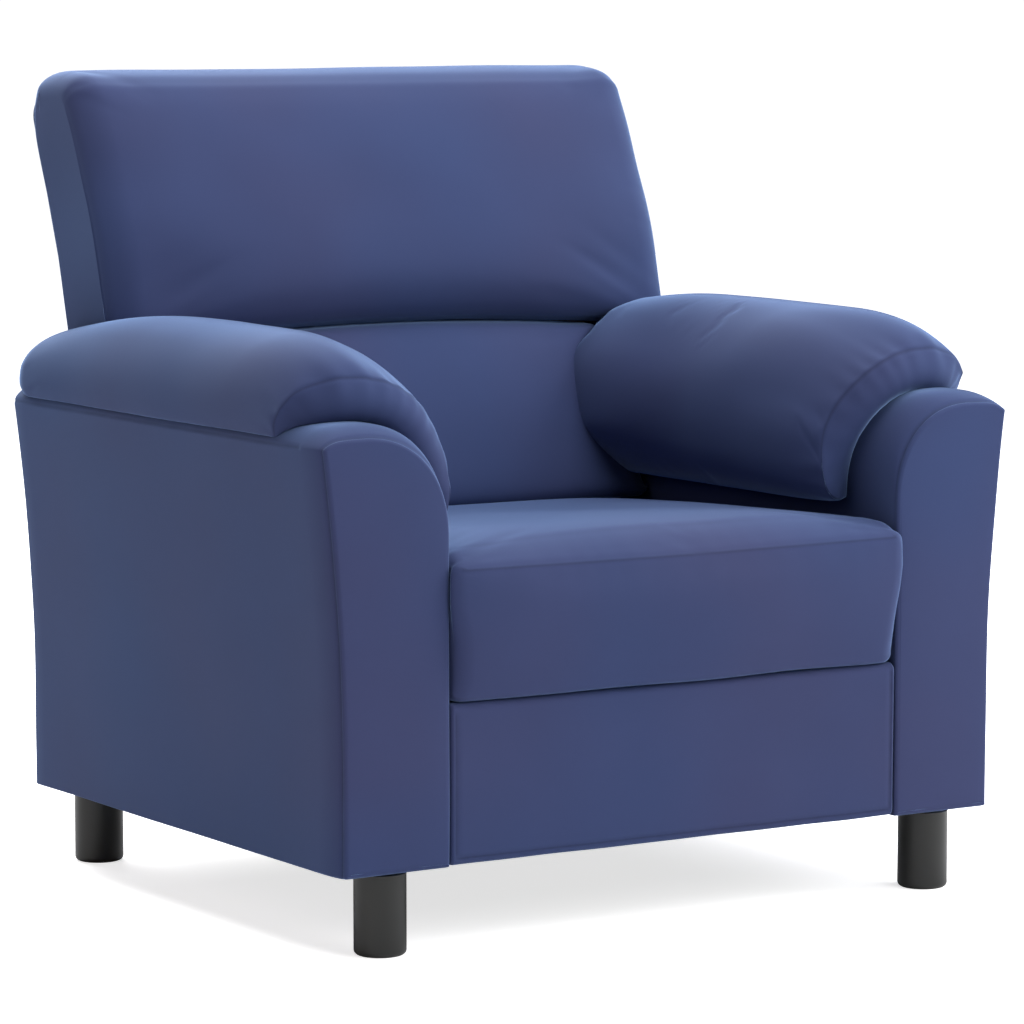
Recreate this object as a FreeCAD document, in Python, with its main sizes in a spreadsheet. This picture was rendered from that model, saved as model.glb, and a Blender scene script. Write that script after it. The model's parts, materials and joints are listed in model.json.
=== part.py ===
"""Upholstered armchair: timber frames, a sprung seat, a webbed back and padded covers.

The chair is a knock-down assembly: two arms, a seat box and a back, bolted together, on four legs.
+Z is up, the chair faces -Y and +X is the sitter's left. The origin is on the floor, at the centre
of the chair's footprint box. Lengths are in millimetres.
"""
import FreeCAD
import Part
import math
import os
import Sketcher

# Driving sizes: name, value, what it is. They go into the spreadsheet as plain numbers.
SIZES = [
    ("seat_width", 521.0, "clear width between the two arms"),
    ("arm_width", 114.0, "thickness of an arm at its foot"),
    ("arm_flare", 22.5, "how far an arm's shoulder stands out from its foot"),
    ("arm_run", 631.0, "length of an arm from front to rear"),
    ("underside", 82.0, "height of the underside above the floor"),
    ("arm_crest", 500.0, "height of the top of an arm's body"),
    ("arm_shoulder", 483.0, "height of an arm's outer top corner"),
    ("arm_roll", 88.0, "radius of the roll from an arm's inner face to its crest"),
    ("flare_foot", 180.0, "height at which an arm's outer face starts to flare"),
    ("front_bulge", 15.0, "how far the seat cushion stands out past the arm fronts"),
    ("back_overhang", 84.0, "how far the back's top lies behind the rear of the arms"),
    ("back_height", 815.0, "overall height"),
    ("back_shoulder", 775.0, "height at which the back's rear face turns into its top"),
    ("back_knee", 560.0, "height at which the back's rear face starts to lean"),
    ("back_reach", 73.5, "how far the upper back reaches over each arm, from its inner face"),
    ("back_thickness", 108.0, "thickness of the upper back from front to rear"),
    ("crease", 550.0, "height of the crease between the lumbar and head cushions"),
    ("apron_top", 235.0, "height of the top of the front apron"),
    ("rail_top", 212.0, "height of the top of the seat box's rails"),
    ("seat_front", 385.0, "height of the seat cushion near its front"),
    ("seat_rear", 360.0, "height of the seat cushion at its rear"),
    ("seat_nose", 32.0, "radius of the seat cushion's front top edge"),
    ("lumbar_proud", 14.0, "how far the lumbar cushion bulges"),
    ("head_proud", 24.0, "how far the head cushion bulges"),
    ("pad_crest", 577.0, "height of the top of an arm pad"),
    ("pad_proud", 3.0, "how far an arm pad stands out past the arm's shoulder"),
    ("pad_inner", 56.0, "how far an arm pad reaches in over the seat"),
    ("pad_foot", 387.0, "height of the lower edge of an arm pad's inner side"),
    ("pad_setback", 56.0, "distance from an arm's front to its pad"),
    ("pad_rear_gap", 6.0, "distance from an arm pad's end to the rear of the arm"),
    ("skin", 10.0, "foam and fabric over the arm's top and inner face"),
    ("side_skin", 6.0, "foam and fabric over the arm's outer face"),
    ("facing_skin", 22.0, "padding on the front of an arm"),
    ("rear_skin", 4.0, "padding on the rear of an arm and of the back"),
    ("apron_skin", 12.0, "padding on the front apron"),
    ("cushion_skin", 6.0, "wadding and fabric round a cushion's foam"),
    ("profile_board", 15.0, "thickness of an arm's front and rear profile boards"),
    ("panel", 3.0, "thickness of the hardboard panels"),
    ("rail", 22.0, "thickness of the rails"),
    ("batten", 25.0, "side of the battens that run along an arm"),
    ("corner_leg", 70.0, "length of a corner block's short sides"),
    ("box_gap", 2.0, "gap between the seat box or the back and each arm"),
    ("fit_gap", 0.3, "clearance between pieces that touch when they are fitted"),
    ("post_knee", 340.0, "height at which the front of a back post starts to lean"),
    ("back_foam", 50.0, "thickness of the foam in front of the back's posts"),
    ("strap_width", 50.0, "width of the elastic webbing"),
    ("strap_skin", 1.5, "thickness of the elastic webbing"),
    ("wire", 3.8, "diameter of the seat springs' wire"),
    ("spring_width", 48.0, "width of a sinuous seat spring"),
    ("spring_pitch", 22.0, "distance from one run of a seat spring to the next, at most"),
    ("clip_skin", 1.2, "thickness of the steel of a spring clip"),
    ("clip_width", 20.0, "width of a spring clip"),
    ("clip_depth", 16.0, "depth of a spring clip from front to rear"),
    ("spring_pad", 4.0, "thickness of the felt between the springs and the foam"),
    ("cloth", 0.8, "thickness of the non-woven cloth under the chair"),
    ("leg_diameter", 50.0, "diameter of a leg"),
    ("leg_inset_side", 32.0, "distance from an arm's foot to a leg, outside"),
    ("leg_inset_front", 7.5, "distance from an arm's front to the front leg"),
    ("leg_inset_rear", 2.5, "distance from an arm's rear to the rear leg"),
    ("leg_edge", 5.0, "radius of a leg's bottom edge"),
    ("washer_height", 4.0, "height of the spacer washer on top of a leg"),
    ("washer_diameter", 26.0, "diameter of that washer"),
    ("bolt", 8.0, "diameter of the bolts, frame bolts and leg bolts alike"),
    ("bolt_hole", 9.0, "diameter of a bolt's clearance hole"),
    ("bolt_head", 17.0, "diameter of a frame bolt's flanged head"),
    ("head_height", 6.0, "height of a frame bolt's head"),
    ("barrel", 10.5, "diameter of a T-nut's barrel"),
    ("flange", 22.0, "diameter of a T-nut's flange"),
    ("flange_skin", 1.5, "thickness of a T-nut's flange"),
    ("low_bolts", 150.0, "height of the lower row of frame bolts"),
    ("high_bolts", 330.0, "height of the upper frame bolts, in the back's posts"),
    ("bolt_setback", 120.0, "distance from the ends of the seat box to its bolts"),
    ("insert", 12.0, "diameter of the threaded insert that takes a leg's stud"),
    ("insert_length", 18.0, "length of that insert"),
    ("stud_depth", 25.0, "how far a stud goes into its leg"),
    ("nut_depth", 12.0, "length of a T-nut's barrel"),
]
SPRING_COUNT = 5
LUMBAR_STRAPS = 2
HEAD_STRAPS = 3


class Size:
    """A length that carries both its value and the sheet expression that gives it."""

    def __init__(self, value, text):
        self.value = float(value)
        self.text = text

    def __add__(self, other):
        return Size(self.value + number(other), f"({self.text} + {words(other)})")

    def __radd__(self, other):
        return Size(number(other) + self.value, f"({words(other)} + {self.text})")

    def __sub__(self, other):
        return Size(self.value - number(other), f"({self.text} - {words(other)})")

    def __rsub__(self, other):
        return Size(number(other) - self.value, f"({words(other)} - {self.text})")

    def __mul__(self, other):
        return Size(self.value * number(other), f"({self.text} * {words(other)})")

    def __rmul__(self, other):
        return Size(number(other) * self.value, f"({words(other)} * {self.text})")

    def __truediv__(self, other):
        return Size(self.value / number(other), f"({self.text} / {words(other)})")

    def __neg__(self):
        return Size(-self.value, f"(-1 * {self.text})")


def number(value):
    """The plain number of a Size or of a number."""
    return value.value if isinstance(value, Size) else float(value)


def words(value):
    """The expression text of a Size or of a number."""
    return value.text if isinstance(value, Size) else repr(float(value))


def root(size):
    """The square root of a Size."""
    return Size(math.sqrt(size.value), f"sqrt({size.text})")


class Named:
    """Holds the Sizes as attributes."""


def make_sheet(doc):
    """Writes the driving sizes into a spreadsheet and returns them as Sizes."""
    sheet = doc.addObject("Spreadsheet::Sheet", "Sizes")
    named = Named()
    for row, (name, value, meaning) in enumerate(SIZES, start=1):
        sheet.set(f"A{row}", name)
        sheet.set(f"B{row}", str(value))
        sheet.set(f"C{row}", meaning)
        sheet.setAlias(f"B{row}", name)
        setattr(named, name, Size(value, f"Sizes.{name}"))
    doc.recompute()
    return named


doc = FreeCAD.newDocument("armchair")
S = make_sheet(doc)
PIECES = []

# Places that several sub-parts share, worked out from the driving sizes.
FRONT = S.front_bulge - (S.front_bulge + S.arm_run + S.back_overhang) / 2
REAR = FRONT + S.arm_run
ARM_INNER = S.seat_width / 2
ARM_OUTER = ARM_INNER + S.arm_width
SHOULDER_X = ARM_OUTER + S.arm_flare
CREST_X = ARM_INNER + S.arm_roll
BOX_HALF = ARM_INNER - S.box_gap
RAIL_FRONT = FRONT + S.apron_skin
FELT = S.rail_top + S.wire + S.clip_skin + S.fit_gap
DECK = FELT + S.spring_pad + S.fit_gap
LEAN = S.back_overhang / (S.back_shoulder - S.back_knee)
BACK_HALF = S.seat_width / 2 + S.back_reach
WING_FOOT = S.arm_crest + S.fit_gap
FRAME_FOOT = S.underside + S.cloth + S.fit_gap
NOSE = FRONT - S.front_bulge + S.seat_nose
NOTHING = Size(0, "0")
LEG_X = ARM_OUTER - S.leg_inset_side - S.leg_diameter / 2
LEG_FRONT = FRONT + S.leg_inset_front + S.leg_diameter / 2
LEG_REAR = REAR - S.leg_inset_rear - S.leg_diameter / 2
LEG_TOP = S.underside - S.washer_height
SIDES = (("left", 1), ("right", -1))


def back_rear(height):
    """How far back the rear face of the back is, at a height from the knee up."""
    return REAR + (height - S.back_knee) * LEAN


def back_front(height):
    """How far back the flat front plane of the back is. It leans alike above and below the knee."""
    return back_rear(height) - S.back_thickness


def post_front(height):
    """Front face of the back's posts where they lean."""
    return back_front(height) + S.back_foam + S.strap_skin + 2 * S.fit_gap


def frame_rear(height):
    """Rear face of the back's timber where it leans."""
    return back_rear(height) - S.rear_skin - S.panel - 2 * S.fit_gap


def crown(run, rise, proud):
    """Radius of the arc over a chord of that run and rise that stands proud of it."""
    return (run * run + rise * rise) / (8 * proud) + proud / 2


POST_FRONT = post_front(S.post_knee)
BOX_REAR = POST_FRONT - S.box_gap


def seat_top(depth):
    """Height of the seat cushion's sloping top at a place from front to rear."""
    slope = (S.seat_front - S.seat_rear) / (BOX_REAR - NOSE)
    return S.seat_rear + (BOX_REAR - depth) * slope


def flare_at(height):
    """How far an arm's outer face has flared out at a height above the flare's foot."""
    rise = S.arm_shoulder - S.flare_foot
    sweep = (S.arm_flare * S.arm_flare + rise * rise) / (2 * S.arm_flare)
    up = height - S.flare_foot
    return sweep - root(sweep * sweep - up * up), sweep


def keep(piece, name):
    """Marks an object as a sub-part: its label names its node."""
    piece.Label = name
    PIECES.append(piece)
    return piece


def at(piece, x, y, z):
    """Puts an object at a place that follows the sheet."""
    for letter, value in zip("xyz", (x, y, z)):
        piece.setExpression(f"Placement.Base.{letter}", words(value))
    return piece


def side_span(sign, near, far):
    """Lowest and highest X of something that reaches from near to far on one side of the chair."""
    return (near, far) if sign > 0 else (-far, -near)


def block(name, low, high):
    """A rectangular block between two corners."""
    box = doc.addObject("Part::Box", name)
    for index, size in enumerate(("Length", "Width", "Height")):
        box.setExpression(size, words(high[index] - low[index]))
    return at(box, *low)


def rod(name, low, diameter, length, axis="Z"):
    """A cylinder from a point, along X, Y or Z."""
    piece = doc.addObject("Part::Cylinder", name)
    piece.setExpression("Radius", words(diameter / 2))
    piece.setExpression("Height", words(length))
    turns = {
        "X": FreeCAD.Rotation(FreeCAD.Vector(0, 1, 0), 90),
        "Y": FreeCAD.Rotation(FreeCAD.Vector(1, 0, 0), -90),
        "Z": FreeCAD.Rotation(),
    }
    piece.Placement = FreeCAD.Placement(FreeCAD.Vector(), turns[axis])
    return at(piece, *low)


def cut(name, base, tool):
    """base with tool taken away."""
    piece = doc.addObject("Part::Cut", name)
    piece.Base = base
    piece.Tool = tool
    return piece


def together(name, pieces):
    """Several separate solids as one object."""
    group = doc.addObject("Part::Compound", name)
    group.Links = pieces
    return group


def fused(name, pieces):
    """Several solids made one."""
    group = doc.addObject("Part::MultiFuse", name)
    group.Shapes = pieces
    return group


def arc_middle(start, end, bend):
    """The middle point of the arc from start to end. A positive bend turns left, and is its radius."""
    across = (end[0] - start[0], end[1] - start[1])
    chord = math.hypot(*across)
    normal = (-across[1] / chord, across[0] / chord)
    radius = abs(bend)
    rise = math.sqrt(max(radius**2 - (chord / 2) ** 2, 0.0))
    shift = rise - radius if bend > 0 else radius - rise
    return tuple((start[i] + end[i]) / 2 + normal[i] * shift for i in range(2))


def draw(body, name, plane, outline, offset):
    """A closed sketch on one of the body's origin planes, at a distance along that plane's normal.

    outline lists its corners as (across, up) or (across, up, bend): bend is the radius of the arc
    that comes in from the corner before, positive where it turns left. Every corner and radius is
    a constraint that follows the sheet.
    """
    sketch = body.newObject("Sketcher::SketchObject", name)
    support = [f for f in body.Origin.OriginFeatures if f.Role == f"{plane}_Plane"][0]
    sketch.AttachmentSupport = [(support, "")]
    sketch.MapMode = "FlatFace"
    normal = -1 if plane == "XZ" else 1
    sketch.setExpression("AttachmentOffset.Base.z", words(normal * offset))
    count = len(outline)
    corners = [(number(corner[0]), number(corner[1])) for corner in outline]
    ends = []
    for index in range(count):
        following = (index + 1) % count
        start = FreeCAD.Vector(*corners[index], 0)
        end = FreeCAD.Vector(*corners[following], 0)
        if len(outline[following]) == 2:
            sketch.addGeometry(Part.LineSegment(start, end))
            ends.append((1, 2))
            continue
        bend = outline[following][2]
        middle = arc_middle(corners[index], corners[following], number(bend))
        sketch.addGeometry(Part.Arc(start, FreeCAD.Vector(*middle, 0), end))
        ends.append((1, 2) if number(bend) > 0 else (2, 1))
        size = bend if number(bend) > 0 else -bend
        label = sketch.addConstraint(Sketcher.Constraint("Radius", index, number(size)))
        sketch.setExpression(f"Constraints[{label}]", words(size))
    for index in range(count):
        before = index - 1 if index else count - 1
        first, last = ends[index][0], ends[before][1]
        sketch.addConstraint(Sketcher.Constraint("Coincident", before, last, index, first))
        for kind, value in (("DistanceX", outline[index][0]), ("DistanceY", outline[index][1])):
            rule = Sketcher.Constraint(kind, -1, 1, index, first, number(value))
            label = sketch.addConstraint(rule)
            sketch.setExpression(f"Constraints[{label}]", words(value))
    return sketch


def prism(name, plane, outline, start, length):
    """A body whose outline on a plane is carried from start, along that plane's positive axis."""
    body = doc.addObject("PartDesign::Body", name)
    sketch = draw(body, f"{name}_outline", plane, outline, start)
    pad = body.newObject("PartDesign::Pad", f"{name}_pad")
    pad.Profile = sketch
    pad.Reversed = plane == "XZ"
    pad.setExpression("Length", words(length))
    sketch.Visibility = False
    return body


def round_edges(body, radius, wanted):
    """Rounds the edges of a body's last feature for which wanted(edge) is true."""
    doc.recompute()
    base = body.Tip
    names = [f"Edge{i}" for i, edge in enumerate(base.Shape.Edges, start=1) if wanted(edge)]
    fillet = body.newObject("PartDesign::Fillet", f"{body.Name}_round")
    fillet.Base = (base, names)
    fillet.setExpression("Radius", words(radius))
    doc.recompute()
    return body


def turned(name, outline):
    """A body turned about Z from a half outline in the XZ plane."""
    body = doc.addObject("PartDesign::Body", name)
    sketch = draw(body, f"{name}_outline", "XZ", outline, Size(0, "0"))
    turn = body.newObject("PartDesign::Revolution", f"{name}_turn")
    turn.Profile = sketch
    turn.ReferenceAxis = (sketch, ["V_Axis"])
    turn.Angle = 360
    sketch.Visibility = False
    return body


def arm_outline(sign, skin_in, skin_top, skin_out, skin_foot):
    """Outline of an arm's body seen from the front, drawn in from its covered surface by skins."""
    inner, foot = ARM_INNER + skin_in, S.underside + skin_foot
    roll = S.arm_roll - skin_in
    crest, shoulder = S.arm_crest - skin_top, S.arm_shoulder - skin_top
    flare, sweep = flare_at(shoulder)
    outer = ARM_OUTER - skin_out
    shoulder_x = outer + flare
    run, fall = shoulder_x - CREST_X, crest - shoulder
    brow = (run * run + fall * fall) / (2 * fall)
    return [
        (sign * inner, foot),
        (sign * outer, foot),
        (sign * outer, S.flare_foot),
        (sign * shoulder_x, shoulder, -sign * sweep),
        (sign * CREST_X, crest, sign * brow),
        (sign * inner, crest - roll, sign * roll),
    ]


def strip(points, inner_points):
    """A closed outline between a chain of corners and the same chain drawn in, walked back.

    Each chain lists corners as draw() takes them; the way back turns the other way.
    """
    back = []
    for index in range(len(inner_points) - 1, -1, -1):
        across, up = inner_points[index][0], inner_points[index][1]
        arriving = inner_points[index + 1] if index + 1 < len(inner_points) else ()
        back.append((across, up, -arriving[2]) if len(arriving) == 3 else (across, up))
    return [point[:2] if index == 0 else point for index, point in enumerate(points)] + back


def outer_chain(sign, skin_out, skin_top, foot):
    """The outer side of an arm, from its foot to its shoulder."""
    chain = arm_outline(sign, S.skin, skin_top, skin_out, foot)
    return [chain[1], chain[2], chain[3]]


def roll_chain(sign, skin_in, skin_top, skin_out, foot):
    """The top and inner side of an arm, from its shoulder over its crest to its foot."""
    chain = arm_outline(sign, skin_in, skin_top, skin_out, foot)
    return [chain[3][:2], chain[4], chain[5], chain[0]]


def cross_drill(name, diameter, holes):
    """Rods across the whole chair, at each (depth, height) of holes."""
    reach = SHOULDER_X + 10
    rods = [
        rod(f"{name}_{i}", (-reach, depth, height), diameter, 2 * reach, "X")
        for i, (depth, height) in enumerate(holes)
    ]
    return together(name, rods)


BOLT_PLACES = [
    (RAIL_FRONT + S.rail + S.bolt_setback, S.low_bolts),
    (BOX_REAR - S.bolt_setback, S.low_bolts),
    ((POST_FRONT + REAR) / 2, S.low_bolts),
    ((POST_FRONT + REAR) / 2, S.high_bolts),
]
LEG_PLACES = [
    (f"leg_{end}_{side}", sign * LEG_X, depth)
    for side, sign in SIDES
    for end, depth in (("front", LEG_FRONT), ("rear", LEG_REAR))
]


def make_arm_frame(side, sign):
    """The timber and hardboard of one arm."""
    name = f"arm_{side}"
    gap = S.fit_gap
    board_in = S.skin + S.panel + 2 * gap
    board_out = S.side_skin + S.panel + 2 * gap
    front_face = FRONT + S.facing_skin + gap
    rear_face = REAR - S.rear_skin - gap
    inside_front = front_face + S.profile_board
    inside_rear = rear_face - S.profile_board
    inner, outer = ARM_INNER + board_in, ARM_OUTER - board_out
    run = rear_face - front_face

    profile = arm_outline(sign, board_in, board_in, board_out, S.rail)
    for end, start in (("front", front_face), ("rear", inside_rear)):
        keep(prism(f"{name}_{end}", "XZ", profile, start, S.profile_board), f"{name}_{end}_board")

    low_x, high_x = side_span(sign, inner, outer)
    plank = block(
        f"{name}_plank",
        (low_x, front_face, S.underside),
        (high_x, rear_face, S.underside + S.rail),
    )
    holes = [
        rod(f"{name}_hole_{i}", (sign * LEG_X, depth, S.underside - 5), S.insert, S.rail + 10)
        for i, depth in enumerate((LEG_FRONT, LEG_REAR))
    ]
    keep(cut(f"{name}_base", plank, together(f"{name}_holes", holes)), f"{name}_base_board")

    low_x, high_x = side_span(sign, inner, inner + S.rail)
    mounts = [
        block(
            f"{name}_mount_{i}",
            (low_x, inside_front, height - S.batten),
            (high_x, inside_rear, height + S.batten),
        )
        for i, height in enumerate((S.low_bolts, S.high_bolts))
    ]
    drill = cross_drill(f"{name}_nut_drill", S.barrel + 2 * gap, BOLT_PLACES)
    drilled = cut(f"{name}_mounts", together(f"{name}_pair", mounts), drill)

    crest_top = S.arm_crest - board_in - S.panel - S.batten / 4
    low_x, high_x = side_span(sign, CREST_X - S.batten, CREST_X)
    crest = block(
        f"{name}_crest_batten",
        (low_x, inside_front, crest_top - S.batten),
        (high_x, inside_rear, crest_top),
    )
    shoulder_top = S.arm_shoulder - board_in - S.panel
    outer = outer + flare_at(shoulder_top - S.batten)[0]
    low_x, high_x = side_span(sign, outer - S.batten, outer)
    shoulder = block(
        f"{name}_shoulder_batten",
        (low_x, inside_front, shoulder_top - S.batten),
        (high_x, inside_rear, shoulder_top),
    )
    keep(together(f"{name}_rail_set", [drilled, crest, shoulder]), f"{name}_rails")

    out = S.side_skin + gap
    hardboard = strip(
        outer_chain(sign, out, S.skin + gap, NOTHING),
        outer_chain(sign, out + S.panel, S.skin + gap, NOTHING),
    )
    keep(prism(f"{name}_hardboard", "XZ", hardboard, front_face, run), f"{name}_outer_panel")
    inward = S.skin + gap
    sheet = strip(
        roll_chain(sign, inward, inward, board_out, NOTHING),
        roll_chain(sign, inward + S.panel, inward + S.panel, board_out, NOTHING),
    )
    rolled = prism(f"{name}_roll_sheet", "XZ", sheet, front_face, run)
    drill = cross_drill(f"{name}_panel_drill", S.bolt_hole, BOLT_PLACES)
    keep(cut(f"{name}_roll", rolled, drill), f"{name}_roll_panel")


def make_arm_covers(side, sign):
    """The padded covers of one arm: outer side, top and inner side, front and rear."""
    name = f"arm_{side}"
    gap = S.fit_gap
    start = FRONT + S.facing_skin
    run = REAR - S.rear_skin - gap - start
    outside = strip(
        outer_chain(sign, NOTHING, gap, NOTHING),
        outer_chain(sign, S.side_skin, gap, NOTHING),
    )
    keep(prism(f"{name}_side", "XZ", outside, start, run), f"{name}_side_cover")
    over = strip(
        roll_chain(sign, NOTHING, NOTHING, S.side_skin + gap, NOTHING),
        roll_chain(sign, S.skin, S.skin, S.side_skin + gap, NOTHING),
    )
    covered = prism(f"{name}_top", "XZ", over, start, run)
    drill = cross_drill(f"{name}_cover_drill", S.bolt_hole, BOLT_PLACES)
    keep(cut(f"{name}_top_drilled", covered, drill), f"{name}_top_cover")

    whole = arm_outline(sign, NOTHING, NOTHING, NOTHING, NOTHING)
    facing = prism(f"{name}_facing", "XZ", whole, FRONT, S.facing_skin - gap)
    front_y = number(FRONT)

    def on_front(edge):
        """True for an edge that lies in the facing's front plane."""
        return all(abs(v.Point.y - front_y) < 1e-6 for v in edge.Vertexes)

    keep(round_edges(facing, S.skin, on_front), f"{name}_front_facing")
    ending = prism(f"{name}_end", "XZ", whole, REAR - S.rear_skin, S.rear_skin)
    keep(ending, f"{name}_rear_cover")


def pad_outline(sign, skin):
    """Section of an arm pad: a saddle over the arm, drawn in by skin."""
    gap = S.fit_gap
    outer = SHOULDER_X + S.pad_proud - skin
    inner = ARM_INNER - S.pad_inner + skin
    crest = S.pad_crest - skin
    shoulder = S.arm_shoulder + gap + skin
    saddle = ARM_INNER - gap - skin
    run, fall = SHOULDER_X - skin - CREST_X, S.arm_crest - S.arm_shoulder
    brow = (run * run + fall * fall) / (2 * fall)
    round_out = outer - CREST_X
    round_in = (CREST_X - inner) * 0.8
    return [
        (sign * saddle, S.pad_foot + skin),
        (sign * saddle, S.arm_crest - S.arm_roll),
        (sign * CREST_X, S.arm_crest + gap + skin, -sign * (S.arm_roll + gap + skin)),
        (sign * (SHOULDER_X - skin), shoulder, -sign * brow),
        (sign * outer, shoulder),
        (sign * outer, crest - round_out),
        (sign * CREST_X, crest, sign * round_out),
        (sign * (inner + round_in), crest),
        (sign * inner, crest - round_in, sign * round_in),
        (sign * inner, S.pad_foot + skin),
    ]


def back_room(name, room):
    """The space the back takes up, with some room in front and beside it, to cut the arm pads."""
    foot, middle, top = S.seat_rear, S.arm_crest, S.pad_crest + 20
    far = REAR + S.back_overhang
    proud = S.lumbar_proud + room

    def slab(low, high):
        """The space between two heights, seen from the side."""
        return [
            (back_front(low) - proud, low),
            (far, low),
            (far, high),
            (back_front(high) - proud, high),
        ]

    wings = prism(f"{name}_wings", "YZ", slab(middle, top), -BACK_HALF - room, 2 * (BACK_HALF + room))
    between = prism(f"{name}_between", "YZ", slab(foot, middle + 10), -ARM_INNER, S.seat_width)
    return fused(name, [wings, between])


def make_pad(side, sign):
    """One arm's pad: a sewn cover and the foam in it."""
    name = f"arm_{side}_pad"
    start = FRONT + S.pad_setback
    run = REAR - S.pad_rear_gap - start
    skin, inset = S.cushion_skin, S.cushion_skin + S.fit_gap
    solid = prism(f"{name}_solid", "XZ", pad_outline(sign, NOTHING), start, run)
    hollow = prism(f"{name}_hollow", "XZ", pad_outline(sign, skin), start + skin, run - 2 * skin)
    core = prism(f"{name}_core", "XZ", pad_outline(sign, inset), start + inset, run - 2 * inset)
    near = S.box_gap
    notched = cut(f"{name}_notched", solid, back_room(f"{name}_room", near))
    hollowed = cut(f"{name}_hollowed", hollow, back_room(f"{name}_skin_room", near + skin))
    keep(cut(f"{name}_shell", notched, hollowed), f"{name}_cover")
    keep(cut(f"{name}_filling", core, back_room(f"{name}_core_room", near + inset)), f"{name}_foam")


def make_back_frame():
    """The timber of the back: two posts, two wings, three rails, webbing and the rear panel."""
    gap = S.fit_gap
    top = S.back_shoulder - S.rail
    post = [
        (POST_FRONT, FRAME_FOOT),
        (REAR - S.rear_skin - S.panel - 2 * gap, FRAME_FOOT),
        (REAR - S.rear_skin - S.panel - 2 * gap, S.back_knee),
        (frame_rear(top), top),
        (post_front(top), top),
        (POST_FRONT, S.post_knee),
    ]
    wing = [
        (post_front(WING_FOOT + S.rail), WING_FOOT + S.rail),
        (REAR - S.rear_skin - S.panel - 2 * gap, WING_FOOT + S.rail),
        (REAR - S.rear_skin - S.panel - 2 * gap, S.back_knee),
        (frame_rear(top), top),
        (post_front(top), top),
    ]
    wide = BACK_HALF - S.cushion_skin - gap
    low, high = WING_FOOT + 2 * S.rail, WING_FOOT + 2 * S.rail + S.batten * 2
    mid = [
        (post_front(low), low),
        (post_front(low) + S.rail, low),
        (post_front(high) + S.rail, high),
        (post_front(high), high),
    ]
    for side, sign in SIDES:
        for part, outline, outer in (("post", post, BOX_HALF), ("wing", wing, wide)):
            name = f"back_{part}_{side}"
            start = outer - S.rail if sign > 0 else -outer
            board = prism(f"{name}_board", "YZ", outline, start, S.rail)
            notch = prism(f"{name}_notch", "YZ", mid, -wide, 2 * wide)
            piece = cut(f"{name}_notched", board, notch)
            if part == "post":
                drill = cross_drill(f"{name}_drill", S.bolt_hole, BOLT_PLACES)
                piece = cut(f"{name}_drilled", piece, drill)
            keep(piece, name)
    keep(prism("mid_rail", "YZ", mid, -wide, 2 * wide), "back_mid_rail")
    head = [
        (post_front(top), top),
        (frame_rear(top), top),
        (frame_rear(S.back_shoulder), S.back_shoulder),
        (post_front(S.back_shoulder), S.back_shoulder),
    ]
    keep(prism("top_rail", "YZ", head, -wide, 2 * wide), "back_top_rail")
    inside = BOX_HALF - S.rail
    foot = S.low_bolts - S.batten
    keep(
        block(
            "bottom_rail",
            (-inside, POST_FRONT, foot),
            (inside, POST_FRONT + S.rail, foot + 2 * S.batten),
        ),
        "back_bottom_rail",
    )

    straps = []
    span = BOX_HALF - S.box_gap
    rise_low = (S.crease - S.post_knee) / (LUMBAR_STRAPS + 1)
    rise_high = (S.back_shoulder - S.crease) / (HEAD_STRAPS + 1)
    places = [S.post_knee + rise_low * (i + 1) for i in range(LUMBAR_STRAPS)]
    places += [S.crease + rise_high * (i + 1) for i in range(HEAD_STRAPS)]
    for index, middle in enumerate(places):
        low, high = middle - S.strap_width / 2, middle + S.strap_width / 2
        strap = [
            (post_front(low) - gap - S.strap_skin, low),
            (post_front(low) - gap, low),
            (post_front(high) - gap, high),
            (post_front(high) - gap - S.strap_skin, high),
        ]
        straps.append(prism(f"strap_{index}", "YZ", strap, -span, 2 * span))
    keep(together("straps", straps), "back_webbing")


def below_wings(name, low):
    """Two blocks that cut away what would lie over the arms, beside the lower back."""
    far = REAR + S.back_overhang
    pieces = []
    for side, sign in SIDES:
        low_x, high_x = side_span(sign, BOX_HALF, BACK_HALF + S.rail)
        start = (low_x, FRONT, low - 5)
        pieces.append(block(f"{name}_{side}", start, (high_x, far, WING_FOOT)))
    return together(name, pieces)


def make_back_rear():
    """The hardboard and the fabric on the rear of the back."""
    gap = S.fit_gap
    wide = BACK_HALF - S.cushion_skin - gap
    near = S.rear_skin + gap
    deep = near + S.panel
    board = [
        (REAR - deep, FRAME_FOOT),
        (REAR - near, FRAME_FOOT),
        (REAR - near, S.back_knee),
        (back_rear(S.back_shoulder) - near, S.back_shoulder),
        (back_rear(S.back_shoulder) - deep, S.back_shoulder),
        (REAR - deep, S.back_knee),
    ]
    whole = prism("rear_board", "YZ", board, -wide, 2 * wide)
    keep(cut("rear_board_cut", whole, below_wings("rear_board_clear", FRAME_FOOT)), "back_rear_panel")
    cover = [
        (REAR - S.rear_skin, S.underside),
        (REAR, S.underside),
        (REAR, S.back_knee),
        (back_rear(S.back_shoulder), S.back_shoulder),
        (back_rear(S.back_shoulder) - S.rear_skin, S.back_shoulder),
        (REAR - S.rear_skin, S.back_knee),
    ]
    whole = prism("rear_cloth", "YZ", cover, -BACK_HALF, 2 * BACK_HALF)
    keep(cut("rear_cloth_cut", whole, below_wings("rear_cloth_clear", S.underside)), "back_rear_cover")


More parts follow.
